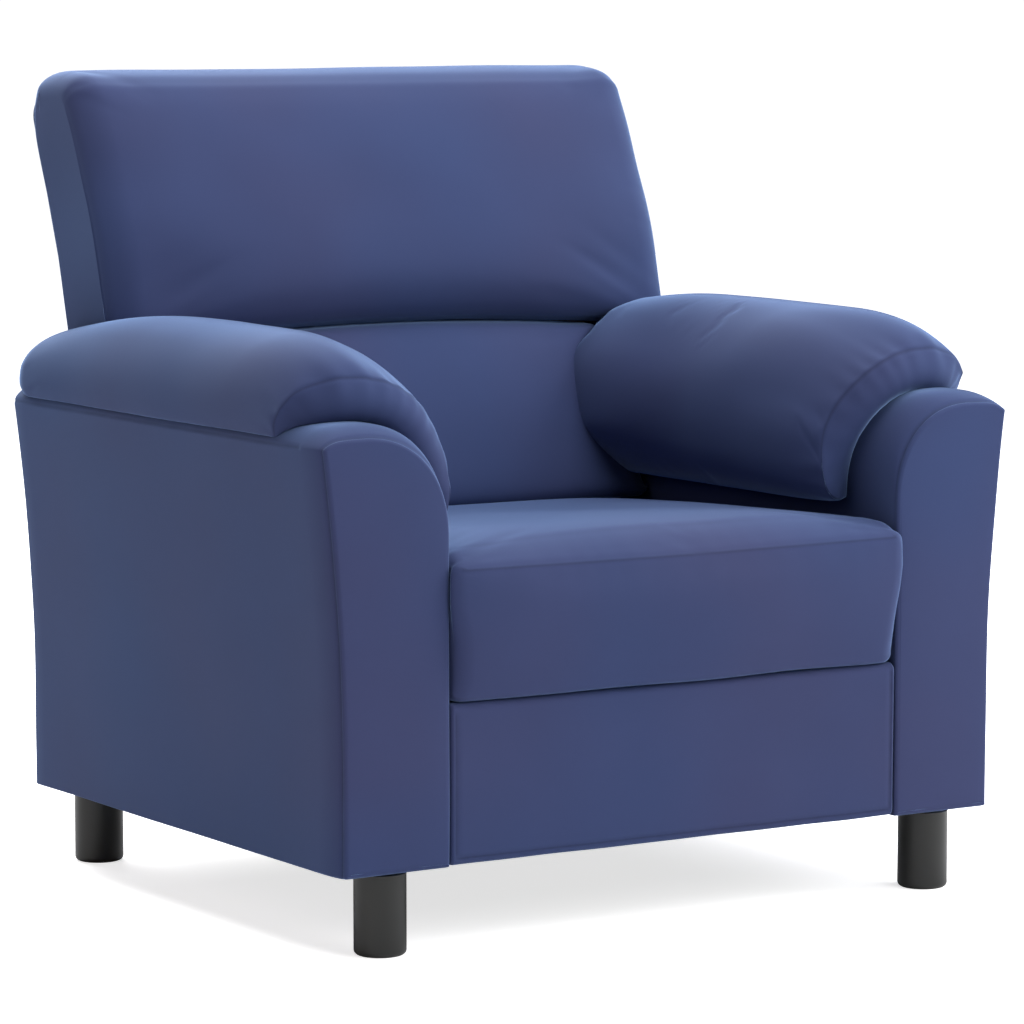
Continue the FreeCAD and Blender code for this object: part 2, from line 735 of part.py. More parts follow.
def head_outline(skin, foot, rear):
    """Section of the head cushion, drawn in by skin, its rear drawn in by rear."""
    high = S.back_height - S.back_shoulder
    brow = S.back_height - high
    rise, run = brow - S.crease, back_front(brow) - back_front(S.crease)
    bulge = crown(run, rise, S.head_proud) - skin
    crown_top = S.back_height - skin
    return [
        (back_front(foot) + skin, foot),
        (REAR - rear, foot),
        (REAR - rear, S.back_knee),
        (back_rear(S.back_shoulder) - rear, S.back_shoulder),
        (back_rear(S.back_shoulder) - rear - high + skin, crown_top, high - skin),
        (back_front(brow) + high, crown_top),
        (back_front(brow) + skin, brow, high - skin),
        (back_front(S.crease) + skin, S.crease, bulge),
    ]


def make_back_cushions():
    """The head and lumbar cushions: foam and cover."""
    gap = S.fit_gap
    skin, inset = S.cushion_skin, S.cushion_skin + S.fit_gap
    far = REAR + S.back_overhang

    def between_arms(name, room, top):
        """The space of the lower back, below the head cushion."""
        reach = BOX_HALF + room
        return block(name, (-reach, FRONT, S.seat_rear), (reach, far, top))

    near = S.rear_skin + gap
    outline = head_outline(NOTHING, WING_FOOT, near)
    outer = prism("head_skin", "YZ", outline, -BACK_HALF, 2 * BACK_HALF)
    reach = BACK_HALF - skin
    outline = head_outline(skin, WING_FOOT - 5, near + skin)
    inner = prism("head_hollow", "YZ", outline, -reach, 2 * reach)
    deep = near + S.rail
    mouth = [
        (REAR - deep, WING_FOOT - 5),
        (REAR, WING_FOOT - 5),
        (REAR, S.back_knee),
        (back_rear(S.back_shoulder), S.back_shoulder),
        (back_rear(S.back_shoulder) - deep, S.back_shoulder),
        (REAR - deep, S.back_knee),
    ]
    opening = prism("head_mouth", "YZ", mouth, -reach, 2 * reach)
    shell = cut("head_shell", cut("head_case", outer, inner), opening)
    keep(cut("head_shell_cut", shell, between_arms("head_gap", gap, S.crease + gap)), "head_cover")

    reach = BACK_HALF - inset
    outline = head_outline(inset, WING_FOOT, near + inset)
    filling = prism("head_solid", "YZ", outline, -reach, 2 * reach)
    top = S.back_shoulder + gap
    strap = S.strap_skin + 2 * gap
    frame_space = [
        (post_front(WING_FOOT - 5) - strap, WING_FOOT - 5),
        (far + 60, WING_FOOT - 5),
        (far + 60, top),
        (post_front(top) - strap, top),
    ]
    frame_tool = prism("head_frame_space", "YZ", frame_space, -BACK_HALF, 2 * BACK_HALF)
    carved = cut("head_carved", filling, frame_tool)
    keep(cut("head_foam_cut", carved, between_arms("head_foam_gap", inset, S.crease + inset)), "head_foam")

    foot = seat_top(back_front(S.seat_rear) - S.lumbar_proud) + gap
    brow = S.crease - gap

    def lumbar(skin, low, high, rear):
        """Section of the lumbar cushion between two heights."""
        bulge = crown(back_front(high) - back_front(low), high - low, S.lumbar_proud)
        return [
            (back_front(low) + skin, low),
            (post_front(low) - strap + rear, low),
            (post_front(high) - strap + rear, high),
            (back_front(high) + skin, high),
            (back_front(low) + skin, low, bulge),
        ][:4], bulge

    for name, depth, sides, rear in (
        ("lumbar_cover", NOTHING, NOTHING, NOTHING),
        ("lumbar_foam", inset, inset, NOTHING),
    ):
        outline, bulge = lumbar(depth, foot + depth, brow - depth, rear)
        outline[0] = outline[0] + (bulge,)
        reach = BOX_HALF - sides
        solid = prism(f"{name}_solid", "YZ", outline, -reach, 2 * reach)
        if name == "lumbar_foam":
            keep(solid, name)
            continue
        hollow, bulge = lumbar(skin, foot + skin, brow - skin, NOTHING + 20)
        hollow[0] = hollow[0] + (bulge,)
        reach = BOX_HALF - skin
        keep(cut(name, solid, prism(f"{name}_hollow", "YZ", hollow, -reach, 2 * reach)), name)


def seat_outline(skin, floor):
    """Section of the seat cushion, drawn in by skin, with its foam's underside at floor."""
    lip = S.apron_top + S.fit_gap + skin
    nose = S.seat_front - S.seat_nose
    face = FRONT - S.front_bulge + skin
    edge = FRONT + skin
    return [
        (RAIL_FRONT + skin, floor),
        (BOX_REAR - skin, floor),
        (BOX_REAR - skin, S.seat_rear - skin),
        (NOSE, S.seat_front - skin),
        (face, nose, S.seat_nose - skin),
        (edge, lip, crown(edge - face, nose - lip, S.front_bulge / 3)),
        (RAIL_FRONT + skin, lip),
    ]


def make_seat():
    """The seat box, its springs and its cushion."""
    gap = S.fit_gap
    inside = BOX_HALF - S.rail
    drill = cross_drill("side_rail_drill", S.bolt_hole, BOLT_PLACES)
    for end, start in (("front", RAIL_FRONT), ("rear", BOX_REAR - S.rail)):
        keep(
            block(
                f"{end}_rail",
                (-inside, start, FRAME_FOOT),
                (inside, start + S.rail, S.rail_top),
            ),
            f"seat_{end}_rail",
        )
    for side, sign in SIDES:
        low_x, high_x = side_span(sign, inside, BOX_HALF)
        rail = block(
            f"{side}_rail", (low_x, RAIL_FRONT, FRAME_FOOT), (high_x, BOX_REAR, S.rail_top)
        )
        keep(cut(f"{side}_rail_drilled", rail, drill), f"seat_side_rail_{side}")

    corners = []
    for side, sign in SIDES:
        for end, start, way in (
            ("front", RAIL_FRONT + S.rail, 1),
            ("rear", BOX_REAR - S.rail, -1),
        ):
            corner = [
                (sign * inside, start),
                (sign * inside, start + way * S.corner_leg),
                (sign * (inside - S.corner_leg), start),
            ]
            if sign * way < 0:
                corner.reverse()
            block_name = f"corner_{end}_{side}"
            height = S.rail_top - S.wire - S.batten - FRAME_FOOT
            corners.append(prism(block_name, "XY", corner, FRAME_FOOT, height))
    keep(together("corners", corners), "seat_corner_blocks")

    front_end = RAIL_FRONT + S.clip_depth / 2
    rear_end = BOX_REAR - S.clip_depth / 2
    spacing = 2 * inside / SPRING_COUNT
    springs, clips = [], []
    wire_height = S.rail_top + S.wire / 2
    for index in range(SPRING_COUNT):
        middle = spacing * (index + 0.5) - inside
        springs.append(spring_shape(number(middle), number(front_end), number(rear_end)))
        for end, depth in (("front", front_end), ("rear", rear_end)):
            label = f"clip_{end}_{index}"
            low = (middle - S.clip_width / 2, depth - S.clip_depth / 2, S.rail_top)
            high = (
                middle + S.clip_width / 2,
                depth + S.clip_depth / 2,
                S.rail_top + S.wire + S.clip_skin,
            )
            channel = rod(
                f"{label}_channel",
                (middle - S.clip_width, depth, wire_height),
                S.wire + gap,
                2 * S.clip_width,
                "X",
            )
            clips.append(cut(label, block(f"{label}_steel", low, high), channel))
    spring_set = doc.addObject("Part::Feature", "springs")
    spring_set.Shape = Part.makeCompound(springs)
    spring_set.Placement.Base.z = number(wire_height)
    keep(spring_set, "seat_springs")
    keep(together("clips", clips), "spring_clips")

    reach = BOX_HALF - S.cushion_skin - gap
    keep(
        block("felt", (-reach, RAIL_FRONT, FELT), (reach, BOX_REAR, FELT + S.spring_pad)),
        "spring_felt",
    )
    skin, inset = S.cushion_skin, S.cushion_skin + gap
    cover = prism("seat_skin", "YZ", seat_outline(NOTHING, DECK), -BOX_HALF, 2 * BOX_HALF)
    reach = BOX_HALF - skin
    hollow = prism("seat_hollow", "YZ", seat_outline(skin, DECK - 5), -reach, 2 * reach)
    keep(cut("seat_shell", cover, hollow), "seat_cover")
    reach = BOX_HALF - inset
    keep(prism("seat_filling", "YZ", seat_outline(inset, DECK), -reach, 2 * reach), "seat_foam")

    apron = block(
        "apron",
        (-BOX_HALF, FRONT, S.underside),
        (BOX_HALF, RAIL_FRONT - gap, S.apron_top),
    )
    keep(apron, "apron_cover")
    cloth = block(
        "cloth_sheet",
        (-BOX_HALF, RAIL_FRONT, S.underside),
        (BOX_HALF, REAR - S.rear_skin - gap, S.underside + S.cloth),
    )
    keep(cloth, "dust_cover")


def spring_shape(middle, front, rear):
    """One sinuous spring, flat at height 0: bars across, joined by half turns at alternate ends."""
    radius = S.wire.value / 2
    bars = math.ceil((rear - front) / S.spring_pitch.value) + 1
    pitch = (rear - front) / (bars - 1)
    half = (S.spring_width.value - S.wire.value - pitch) / 2
    path = []
    for index in range(bars):
        depth = front + pitch * index
        way = 1 if index % 2 == 0 else -1
        start = FreeCAD.Vector(middle - way * half, depth, 0)
        end = FreeCAD.Vector(middle + way * half, depth, 0)
        path.append(Part.makeLine(start, end))
        if index == bars - 1:
            break
        out = FreeCAD.Vector(middle + way * (half + pitch / 2), depth + pitch / 2, 0)
        after = FreeCAD.Vector(middle + way * half, depth + pitch, 0)
        path.append(Part.Arc(end, out, after).toShape())
    first = FreeCAD.Vector(middle - half, front, 0)
    circle = Part.Wire(Part.makeCircle(radius, first, FreeCAD.Vector(1, 0, 0)))
    return Part.Wire(path).makePipeShell([circle], True, False)


def make_hardware():
    """Bolts, T-nuts, legs, studs, inserts and washers."""
    gap = S.fit_gap
    bolts, nuts = [], []
    head_x = BOX_HALF - S.rail
    nut_face = ARM_INNER + S.skin + S.panel + 2 * gap + S.rail
    for side, sign in SIDES:
        for index, (depth, height) in enumerate(BOLT_PLACES):
            low, _ = side_span(sign, head_x - S.head_height, head_x)
            head = rod(
                f"bolt_head_{side}_{index}", (low, depth, height), S.bolt_head, S.head_height, "X"
            )
            low, _ = side_span(sign, head_x, nut_face + S.flange_skin)
            length = nut_face + S.flange_skin - head_x
            shank = rod(f"bolt_shank_{side}_{index}", (low, depth, height), S.bolt, length, "X")
            bolts.append(fused(f"bolt_{side}_{index}", [head, shank]))
            low, _ = side_span(sign, nut_face - S.nut_depth, nut_face)
            barrel = rod(
                f"nut_barrel_{side}_{index}", (low, depth, height), S.barrel, S.nut_depth, "X"
            )
            low, _ = side_span(sign, nut_face, nut_face + S.flange_skin)
            flange = rod(
                f"nut_flange_{side}_{index}", (low, depth, height), S.flange, S.flange_skin, "X"
            )
            whole = fused(f"nut_{side}_{index}", [barrel, flange])
            low, _ = side_span(sign, nut_face - S.nut_depth - 5, nut_face + 5)
            bore = rod(
                f"nut_bore_{side}_{index}", (low, depth, height), S.bolt + gap, S.nut_depth + 10, "X"
            )
            nuts.append(cut(f"nut_drilled_{side}_{index}", whole, bore))
    keep(together("bolts", bolts), "frame_bolts")
    keep(together("nuts", nuts), "frame_t_nuts")

    studs, inserts, washers = [], [], []
    radius = S.leg_diameter / 2
    for name, x, depth in LEG_PLACES:
        half = [
            (NOTHING, NOTHING),
            (radius - S.leg_edge, NOTHING),
            (radius, S.leg_edge, S.leg_edge),
            (radius, LEG_TOP),
            (NOTHING, LEG_TOP),
        ]
        turned_leg = at(turned(f"{name}_turned", half), x, depth, NOTHING)
        bottom = LEG_TOP - S.stud_depth
        bore = rod(f"{name}_bore", (x, depth, bottom - gap), S.bolt + gap, S.stud_depth + 5)
        keep(cut(f"{name}_bored", turned_leg, bore), name)
        length = S.stud_depth + S.washer_height + S.insert_length
        studs.append(rod(f"{name}_stud", (x, depth, bottom), S.bolt, length))
        sleeve = rod(f"{name}_sleeve", (x, depth, S.underside), S.insert, S.insert_length)
        bore = rod(f"{name}_thread", (x, depth, S.underside - 5), S.bolt + gap, S.insert_length + 10)
        inserts.append(cut(f"{name}_insert", sleeve, bore))
        disc = rod(f"{name}_disc", (x, depth, LEG_TOP), S.washer_diameter, S.washer_height)
        bore = rod(f"{name}_eye", (x, depth, LEG_TOP - 5), S.bolt_hole, S.washer_height + 10)
        washers.append(cut(f"{name}_washer", disc, bore))
    keep(together("studs", studs), "leg_studs")
    keep(together("inserts", inserts), "leg_inserts")
    keep(together("washers", washers), "leg_washers")


for side_name, side_sign in SIDES:
    make_arm_frame(side_name, side_sign)
    make_arm_covers(side_name, side_sign)
    make_pad(side_name, side_sign)
make_back_frame()
make_back_rear()
make_back_cushions()
make_seat()
make_hardware()
doc.recompute()

broken = [o.Name for o in doc.Objects if "Invalid" in o.State or "Error" in o.State]
if broken:
    raise RuntimeError(f"these objects didn't compute: {broken}")
for piece in PIECES:
    shape = piece.Shape
    if shape.isNull() or not shape.isValid() or not shape.Solids:
        raise RuntimeError(f"{piece.Label} has no valid solid")

os.makedirs("parts", exist_ok=True)
for piece in PIECES:
    piece.Shape.exportStep(f"parts/{piece.Label}.step")
    box = piece.Shape.BoundBox
    low = f"{box.XMin:.1f} {box.YMin:.1f} {box.ZMin:.1f}"
    high = f"{box.XMax:.1f} {box.YMax:.1f} {box.ZMax:.1f}"
    volume = piece.Shape.Volume / 1000
    print(f"{piece.Label}: {len(piece.Shape.Solids)} solids, {volume:.0f} cm3, {low} to {high}")
print(f"{len(PIECES)} sub-parts")
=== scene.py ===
"""Upholstered armchair: sewn covers, pillow pads, cushions, legs and the timber frame inside.

Lengths are in metres, in the part's own frame: +Z is up, the chair faces -Y, +X is the sitter's
left, and the origin is on the floor under the middle of the chair.
"""

from __future__ import annotations

import json
import logging
import math
from collections.abc import Callable, Sequence
from dataclasses import dataclass
from enum import Enum

import bmesh
import bpy
import numpy as np
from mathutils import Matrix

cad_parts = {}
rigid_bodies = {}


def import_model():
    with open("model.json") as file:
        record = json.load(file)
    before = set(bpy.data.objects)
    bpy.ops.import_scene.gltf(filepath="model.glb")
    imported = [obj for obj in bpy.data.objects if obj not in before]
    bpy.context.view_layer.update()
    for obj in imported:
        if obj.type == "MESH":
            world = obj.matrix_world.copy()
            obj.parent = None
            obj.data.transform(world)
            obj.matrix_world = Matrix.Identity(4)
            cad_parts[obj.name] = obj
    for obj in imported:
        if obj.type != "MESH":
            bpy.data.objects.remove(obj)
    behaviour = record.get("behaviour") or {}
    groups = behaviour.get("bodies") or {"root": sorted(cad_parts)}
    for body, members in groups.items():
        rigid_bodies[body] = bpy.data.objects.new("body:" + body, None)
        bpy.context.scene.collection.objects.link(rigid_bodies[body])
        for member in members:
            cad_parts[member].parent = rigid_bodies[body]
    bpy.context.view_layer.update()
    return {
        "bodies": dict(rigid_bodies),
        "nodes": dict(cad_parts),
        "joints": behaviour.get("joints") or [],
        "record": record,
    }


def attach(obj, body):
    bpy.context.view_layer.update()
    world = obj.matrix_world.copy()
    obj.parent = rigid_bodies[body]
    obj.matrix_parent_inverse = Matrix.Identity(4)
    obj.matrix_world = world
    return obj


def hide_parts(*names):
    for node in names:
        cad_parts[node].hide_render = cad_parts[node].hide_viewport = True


Array = np.ndarray
Colour = tuple[float, float, float]
Knots = tuple[tuple[float, ...], ...]
Runs = tuple[Knots, Knots, Knots, Knots]
LOG = logging.getLogger("armchair")
WELD = 2e-6
TINY = 1e-9
SEED = 20
QUARTER = np.pi / 2
MIRROR = (-1.0, 1.0, 1.0)


class Side(Enum):
    """A side of the chair, as the sitter has it, with the sign of its X."""

    LEFT = 1.0
    RIGHT = -1.0

    @property
    def word(self) -> str:
        """The side's name in lower case."""
        return self.name.lower()


class Axis(Enum):
    """The axis that a section is carried along."""

    ALONG_X = 0
    ALONG_Y = 1


# ---------------------------------------------------------------------------------------------
# Curves and surfaces
# ---------------------------------------------------------------------------------------------


def ease(value: Array | float) -> Array:
    """The smooth step 3t^2 - 2t^3 of a value held between 0 and 1."""
    held = np.clip(value, 0.0, 1.0)
    return held * held * (3.0 - 2.0 * held)


@dataclass(frozen=True)
class Ramp:
    """A rise from 0 at a start to 1 at start + over; with a negative over it rises downwards."""

    start: float
    over: float

    def straight(self, value: Array) -> Array:
        """The rise in a straight line, held between 0 and 1."""
        return np.clip((value - self.start) / self.over, 0.0, 1.0)

    def soft(self, value: Array) -> Array:
        """The rise by a smooth step."""
        return ease((value - self.start) / self.over)


def averaged(values: Array, passes: int) -> Array:
    """Averages each value round a ring with its neighbours: a quarter, a half and a quarter.

    Args:
        values: The ring's values, one a row.
        passes: How often to average.

    Returns:
        The averaged values.
    """
    for _ in range(passes):
        values = 0.25 * np.roll(values, 1, 0) + 0.5 * values + 0.25 * np.roll(values, -1, 0)
    return values


def even(points: Array, count: int, gather: float = 0.0) -> Array:
    """Spaces points by length along an open chain.

    The share of the length at a step t from 0 to 1 is t - gather sin(2 pi t) / (2 pi), so the
    points at the two ends stand closer by the factor 1 - gather.

    Args:
        points: The chain's points, one a row.
        count: How many steps to take along it.
        gather: How much closer the points stand at the two ends, from 0 up to 1.

    Returns:
        count + 1 points, the chain's two ends among them.
    """
    steps = np.linalg.norm(np.diff(points, axis=0), axis=1)
    reach = np.concatenate([[0.0], np.cumsum(steps)])
    t = np.linspace(0.0, 1.0, count + 1)
    places = reach[-1] * (t - gather * np.sin(2 * np.pi * t) / (2 * np.pi))
    return np.stack([np.interp(places, reach, column) for column in points.T], axis=1)


def flowing(
    knots: Sequence[Sequence[float]], count: int, gather: float = 0.0, fine: int = 24
) -> Array:
    """A smooth chain through knots, by Catmull-Rom spans, spaced evenly.

    Each span is the cubic 0.5 (2B + (C - A) t + (2A - 5B + 4C - D) t^2 + (3B - A - 3C + D) t^3)
    for knots A, B, C, D in a row, with the end knots' neighbours mirrored outwards.

    Args:
        knots: The points that the chain goes through.
        count: How many steps the result has.
        gather: How much closer the points stand at the two ends.
        fine: How many samples each span gets before they are spaced out.

    Returns:
        count + 1 points.
    """
    spots = np.asarray(knots, float)
    first, last = 2 * spots[0] - spots[1], 2 * spots[-1] - spots[-2]
    padded = np.vstack([first, spots, last])
    a, b, c, d = padded[:-3, None], padded[1:-2, None], padded[2:-1, None], padded[3:, None]
    t = np.linspace(0.0, 1.0, fine, endpoint=False)[None, :, None]
    spans = 0.5 * (
        2 * b + (c - a) * t + (2 * a - 5 * b + 4 * c - d) * t**2 + (3 * b - a - 3 * c + d) * t**3
    )
    chain = np.vstack([spans.reshape(-1, spots.shape[1]), spots[-1:]])
    return even(chain, count, gather)


@dataclass(frozen=True)
class Section:
    """A closed section in two dimensions, made of four runs.

    The first and third runs have as many steps as each other, and so have the second and fourth,
    so that the section can be closed with a four-sided patch.
    """

    points: Array
    across: int
    along: int

    @staticmethod
    def of(
        runs: Sequence[Sequence[Sequence[float]]],
        across: int,
        along: int,
        smooth: int = 0,
        gather: float = 0.0,
    ) -> Section:
        """Builds a section from the knots of its four runs.

        Args:
            runs: Four lists of knots, each starting where the one before ends.
            across: Steps in the first and third runs.
            along: Steps in the second and fourth runs.
            smooth: How often to average each point with its neighbours, which rounds corners.
            gather: How much closer the points of the second and fourth runs stand at their ends.

        Returns:
            The section.
        """
        counts = (across, along, across, along)
        gathers = (0.0, gather, 0.0, gather)
        chains = [flowing(*of)[:-1] for of in zip(runs, counts, gathers)]
        return Section(averaged(np.vstack(chains), smooth), across, along)

    def inward(self, passes: int = 3) -> Array:
        """Finds the direction into the section at each point.

        Args:
            passes: How often the directions are averaged with their neighbours.

        Returns:
            The directions, of unit length before they are averaged.
        """
        tangent = np.roll(self.points, -1, 0) - np.roll(self.points, 1, 0)
        normal = np.stack([-tangent[:, 1], tangent[:, 0]], axis=1)
        normal /= np.maximum(np.linalg.norm(normal, axis=1, keepdims=True), TINY)
        return averaged(normal, passes)

    def mixed(self, other: Section, share: float) -> Section:
        """This section moved a share of the way to another one with the same runs."""
        points = self.points * (1 - share) + other.points * share
        return Section(points, self.across, self.along)


def lifted(points: Array, place: Array | float, axis: Axis) -> Array:
    """Puts section points into space at a place along an axis.

    Args:
        points: Section points: (Y, Z) for a section along X, (X, Z) for one along Y.
        place: One place, or one for each point.
        axis: The axis that the section is carried along.

    Returns:
        One row of X, Y and Z for each point.
    """
    spot = np.broadcast_to(np.asarray(place, float), points.shape[:1])
    if axis is Axis.ALONG_X:
        return np.stack([spot, points[:, 0], points[:, 1]], axis=1)
    return np.stack([points[:, 0], spot, points[:, 1]], axis=1)


def patch(ring: Array, across: int, along: int) -> Array:
    """Fills a closed ring with a four-sided patch.

    It is the Coons patch: the two blends between opposite sides, less the blend of the corners.

    Args:
        ring: The ring's points, its four runs in order.
        across: Steps in the first and third runs.
        along: Steps in the second and fourth runs.

    Returns:
        A grid of (along + 1) by (across + 1) points.
    """
    low = ring[: across + 1]
    right = ring[across : across + along + 1]
    high = ring[across + along : 2 * across + along + 1][::-1]
    left = np.vstack([ring[2 * across + along :], ring[:1]])[::-1]
    u = np.linspace(0.0, 1.0, across + 1)[None, :, None]
    v = np.linspace(0.0, 1.0, along + 1)[:, None, None]
    sides = (1 - v) * low[None] + v * high[None] + (1 - u) * left[:, None] + u * right[:, None]
    near = (1 - u) * (1 - v) * low[0] + u * (1 - v) * low[-1]
    corners = near + (1 - u) * v * high[0] + u * v * high[-1]
    return sides - corners


def crowned(grid: Array, rise: Array | Sequence[float], power: float = 2.0) -> Array:
    """Bulges a patch by rise at its middle and by nothing at its edge.

    The share of rise at (u, v) is (1 - |2u - 1|^power) (1 - |2v - 1|^power).

    Args:
        grid: The patch's points.
        rise: How far and which way the middle moves.
        power: How flat the bulge is on top.

    Returns:
        The bulged grid.
    """
    u = np.abs(np.linspace(-1.0, 1.0, grid.shape[1]))[None, :] ** power
    v = np.abs(np.linspace(-1.0, 1.0, grid.shape[0]))[:, None] ** power
    return grid + ((1 - u) * (1 - v))[:, :, None] * np.asarray(rise, float)


def quads(rows: int, columns: int, wraps: bool) -> Array:
    """Numbers the corners of a grid's faces.

    Args:
        rows: The grid's rows.
        columns: The grid's columns.
        wraps: Whether its last column joins its first.

    Returns:
        Four corner numbers a face.
    """
    number = np.arange(rows * columns).reshape(rows, columns)
    if wraps:
        number = np.hstack([number, number[:, :1]])
    corners = (number[:-1, :-1], number[:-1, 1:], number[1:, 1:], number[1:, :-1])
    return np.stack(corners, axis=-1).reshape(-1, 4)


def stitched(name: str, grids: Sequence[tuple[Array, bool]]) -> bpy.types.Object:
    """Makes one object of several grids and welds the points that they share.

    Args:
        name: The object's name.
        grids: Each grid of points, and whether its last column joins its first.

    Returns:
        The object, smooth, with its faces pointing outwards.
    """
    points, faces, start = [], [], 0
    for grid, wraps in grids:
        points.append(grid.reshape(-1, 3))
        faces.append(quads(grid.shape[0], grid.shape[1], wraps) + start)
        start += grid.shape[0] * grid.shape[1]
    mesh = bpy.data.meshes.new(name)
    mesh.from_pydata(np.vstack(points), [], np.vstack(faces).tolist())
    work = bmesh.new()
    work.from_mesh(mesh)
    bmesh.ops.remove_doubles(work, verts=work.verts, dist=WELD)
    bmesh.ops.dissolve_degenerate(work, edges=work.edges, dist=WELD)
    bmesh.ops.recalc_face_normals(work, faces=work.faces)
    work.to_mesh(mesh)
    work.free()
    mesh.shade_smooth()
    piece = bpy.data.objects.new(name, mesh)
    bpy.context.scene.collection.objects.link(piece)
    return piece


def carried(
    name: str,
    rings: Sequence[Array],
    section: Section,
    rises: tuple[Sequence[float], Sequence[float]],
) -> bpy.types.Object:
    """Makes a closed piece from rings one after another, with a crowned patch at each end.

    Args:
        name: The piece's name.
        rings: The rings in order.
        section: The section whose runs the rings have.
        rises: How far and which way the first and the last patch bulge.

    Returns:
        The piece.
    """
    caps = [
        (crowned(patch(ring, section.across, section.along), rise), False)
        for ring, rise in zip((rings[0], rings[-1]), rises)
    ]
    return stitched(name, [(np.stack(rings), True), *caps])


def box_of(piece: bpy.types.Object) -> tuple[Array, Array]:
    """The low and the high corner of a mesh's box."""
    points = points_of(piece)
    return points.min(0), points.max(0)


def points_of(piece: bpy.types.Object) -> Array:
    """Reads a mesh's points.

    Args:
        piece: The mesh.

    Returns:
        The points, one a row.
    """
    flat = np.empty(len(piece.data.vertices) * 3)
    piece.data.vertices.foreach_get("co", flat)
    return flat.reshape(-1, 3)


def normals_of(piece: bpy.types.Object) -> Array:
    """Reads a mesh's outward normals.

    Args:
        piece: The mesh.

    Returns:
        The normal of each point.
    """
    flat = np.empty(len(piece.data.vertices) * 3, np.float32)
    piece.data.vertex_normals.foreach_get("vector", flat)
    return flat.reshape(-1, 3).astype(float)


def place_points(piece: bpy.types.Object, points: Array) -> None:
    """Moves a mesh's points."""
    piece.data.vertices.foreach_set("co", np.ascontiguousarray(points, np.float32).ravel())
    piece.data.update()


def distances(points: Array, line: Array, chunk: int = 4000) -> tuple[Array, Array]:
    """How far each point is from a dense line, and how far along the line that is.

    Args:
        points: The points.
        line: Closely spaced points of the line.
        chunk: How many points to work out at once.

    Returns:
        The distances, and the lengths along the line.
    """
    steps = np.linalg.norm(np.diff(line, axis=0), axis=1)
    reach = np.concatenate([[0.0], np.cumsum(steps)])
    near, place = np.empty(len(points)), np.empty(len(points))
    for start in range(0, len(points), chunk):
        block = points[start : start + chunk]
        square = ((block[:, None] - line[None]) ** 2).sum(2)
        best = square.argmin(1)
        near[start : start + chunk] = np.sqrt(square[np.arange(len(block)), best])
        place[start : start + chunk] = reach[best]
    return near, place


def snapped(piece: bpy.types.Object, line: Array, step: float = 0.0012) -> Array:
    """Moves a line onto a piece: each point by its neighbours' mean offset to the nearest points.

    Args:
        piece: The piece.
        line: The line's points.
        step: The length of a step along the new line.

    Returns:
        The new line's points.
    """
    margin, chunk, window = 0.03, 200, 17
    total = np.linalg.norm(np.diff(line, axis=0), axis=1).sum()
    dense = even(line, max(8, int(total / step)))
    points = points_of(piece)
    low, high = dense.min(0) - margin, dense.max(0) + margin
    points = points[np.all((points > low) & (points < high), axis=1)]
    offset = np.empty_like(dense)
    for start in range(0, len(dense), chunk):
        block = dense[start : start + chunk]
        nearest = ((block[:, None] - points[None]) ** 2).sum(2).argmin(1)
        offset[start : start + chunk] = points[nearest] - block
    ends = np.pad(offset, ((window // 2, window // 2), (0, 0)), mode="edge")
    kernel = np.full(window, 1.0 / window)
    mean = np.stack([np.convolve(column, kernel, "valid") for column in ends.T], axis=1)
    return dense + mean


@dataclass(frozen=True)
class Seam:
    """How a line of sewing draws the cover in, and where painted shade darkens it.

    The cover sinks by depth exp(-(d / width)^2) at a distance d from the line, and puckers by
    pucker sin(2 pi s / pitch + stray sin(stray_rate s)) exp(-d / reach) at a length s along
    it, and not within clear of the line.
    """

    depth: float = 0.0016
    width: float = 0.0022
    pucker: float = 0.0
    pitch: float = 0.030
    reach: float = 0.022
    stray: float = 2.1
    stray_rate: float = 37.0
    clear: float = 0.004

    def press(self, piece: bpy.types.Object, line: Array) -> None:
        """Draws a piece in along a line and writes the line into its attribute seam, a mask along
        which the cloth paints shade.

        Args:
            piece: The piece.
            line: The line's points, on the piece or near it.
        """
        dense = snapped(piece, line)
        points, normals = points_of(piece), normals_of(piece)
        low, high = dense.min(0) - 3 * self.reach, dense.max(0) + 3 * self.reach
        near = np.all((points > low) & (points < high), axis=1)
        away, along = distances(points[near], dense)
        sink = self.depth * np.exp(-((away / self.width) ** 2))
        stray = self.stray * np.sin(along * self.stray_rate)
        wave = np.sin(2 * np.pi * along / self.pitch + stray)
        sink += self.pucker * wave * np.exp(-away / self.reach) * (1 - np.exp(-away / self.clear))
        points[near] -= normals[near] * sink[:, None]
        place_points(piece, points)
        # The seam mask: where the cloth material darkens the cover with painted shade along the
        # seam.
        painted_shade_mask = np.zeros(len(points), np.float32)
        layer = piece.data.attributes.get("seam")
        if layer is None:
            layer = piece.data.attributes.new("seam", "FLOAT", "POINT")
        else:
            layer.data.foreach_get("value", painted_shade_mask)
        painted_shade_mask[near] = np.maximum(painted_shade_mask[near], np.exp(-((away / (self.width * 0.8)) ** 2)))
        layer.data.foreach_set("value", painted_shade_mask)


def settled(piece: bpy.types.Object, height: float, length: float, seed: int) -> None:
    """Gives a padded piece slow, shallow unevenness, as foam and wadding have.

    Each point moves along its normal by the mean of some sine waves of random direction.

    Args:
        piece: The piece to change.
        height: The size of the unevenness.
        length: The typical distance from one high place to the next.
        seed: Seeds the waves' directions.
    """
    rng = np.random.default_rng(SEED + seed)
    points, normals = points_of(piece), normals_of(piece)
    count, slowest, fastest, gain = 8, 0.6, 1.5, 1.8
    waves = rng.normal(size=(count, 3))
    rate = 2 * np.pi / length / np.linalg.norm(waves, axis=1)
    waves *= (rate * rng.uniform(slowest, fastest, count))[:, None]
    phases = rng.uniform(0, 2 * np.pi, count)
    rise = np.sin(points @ waves.T + phases).mean(1) * height * gain
    place_points(piece, points + normals * rise[:, None])


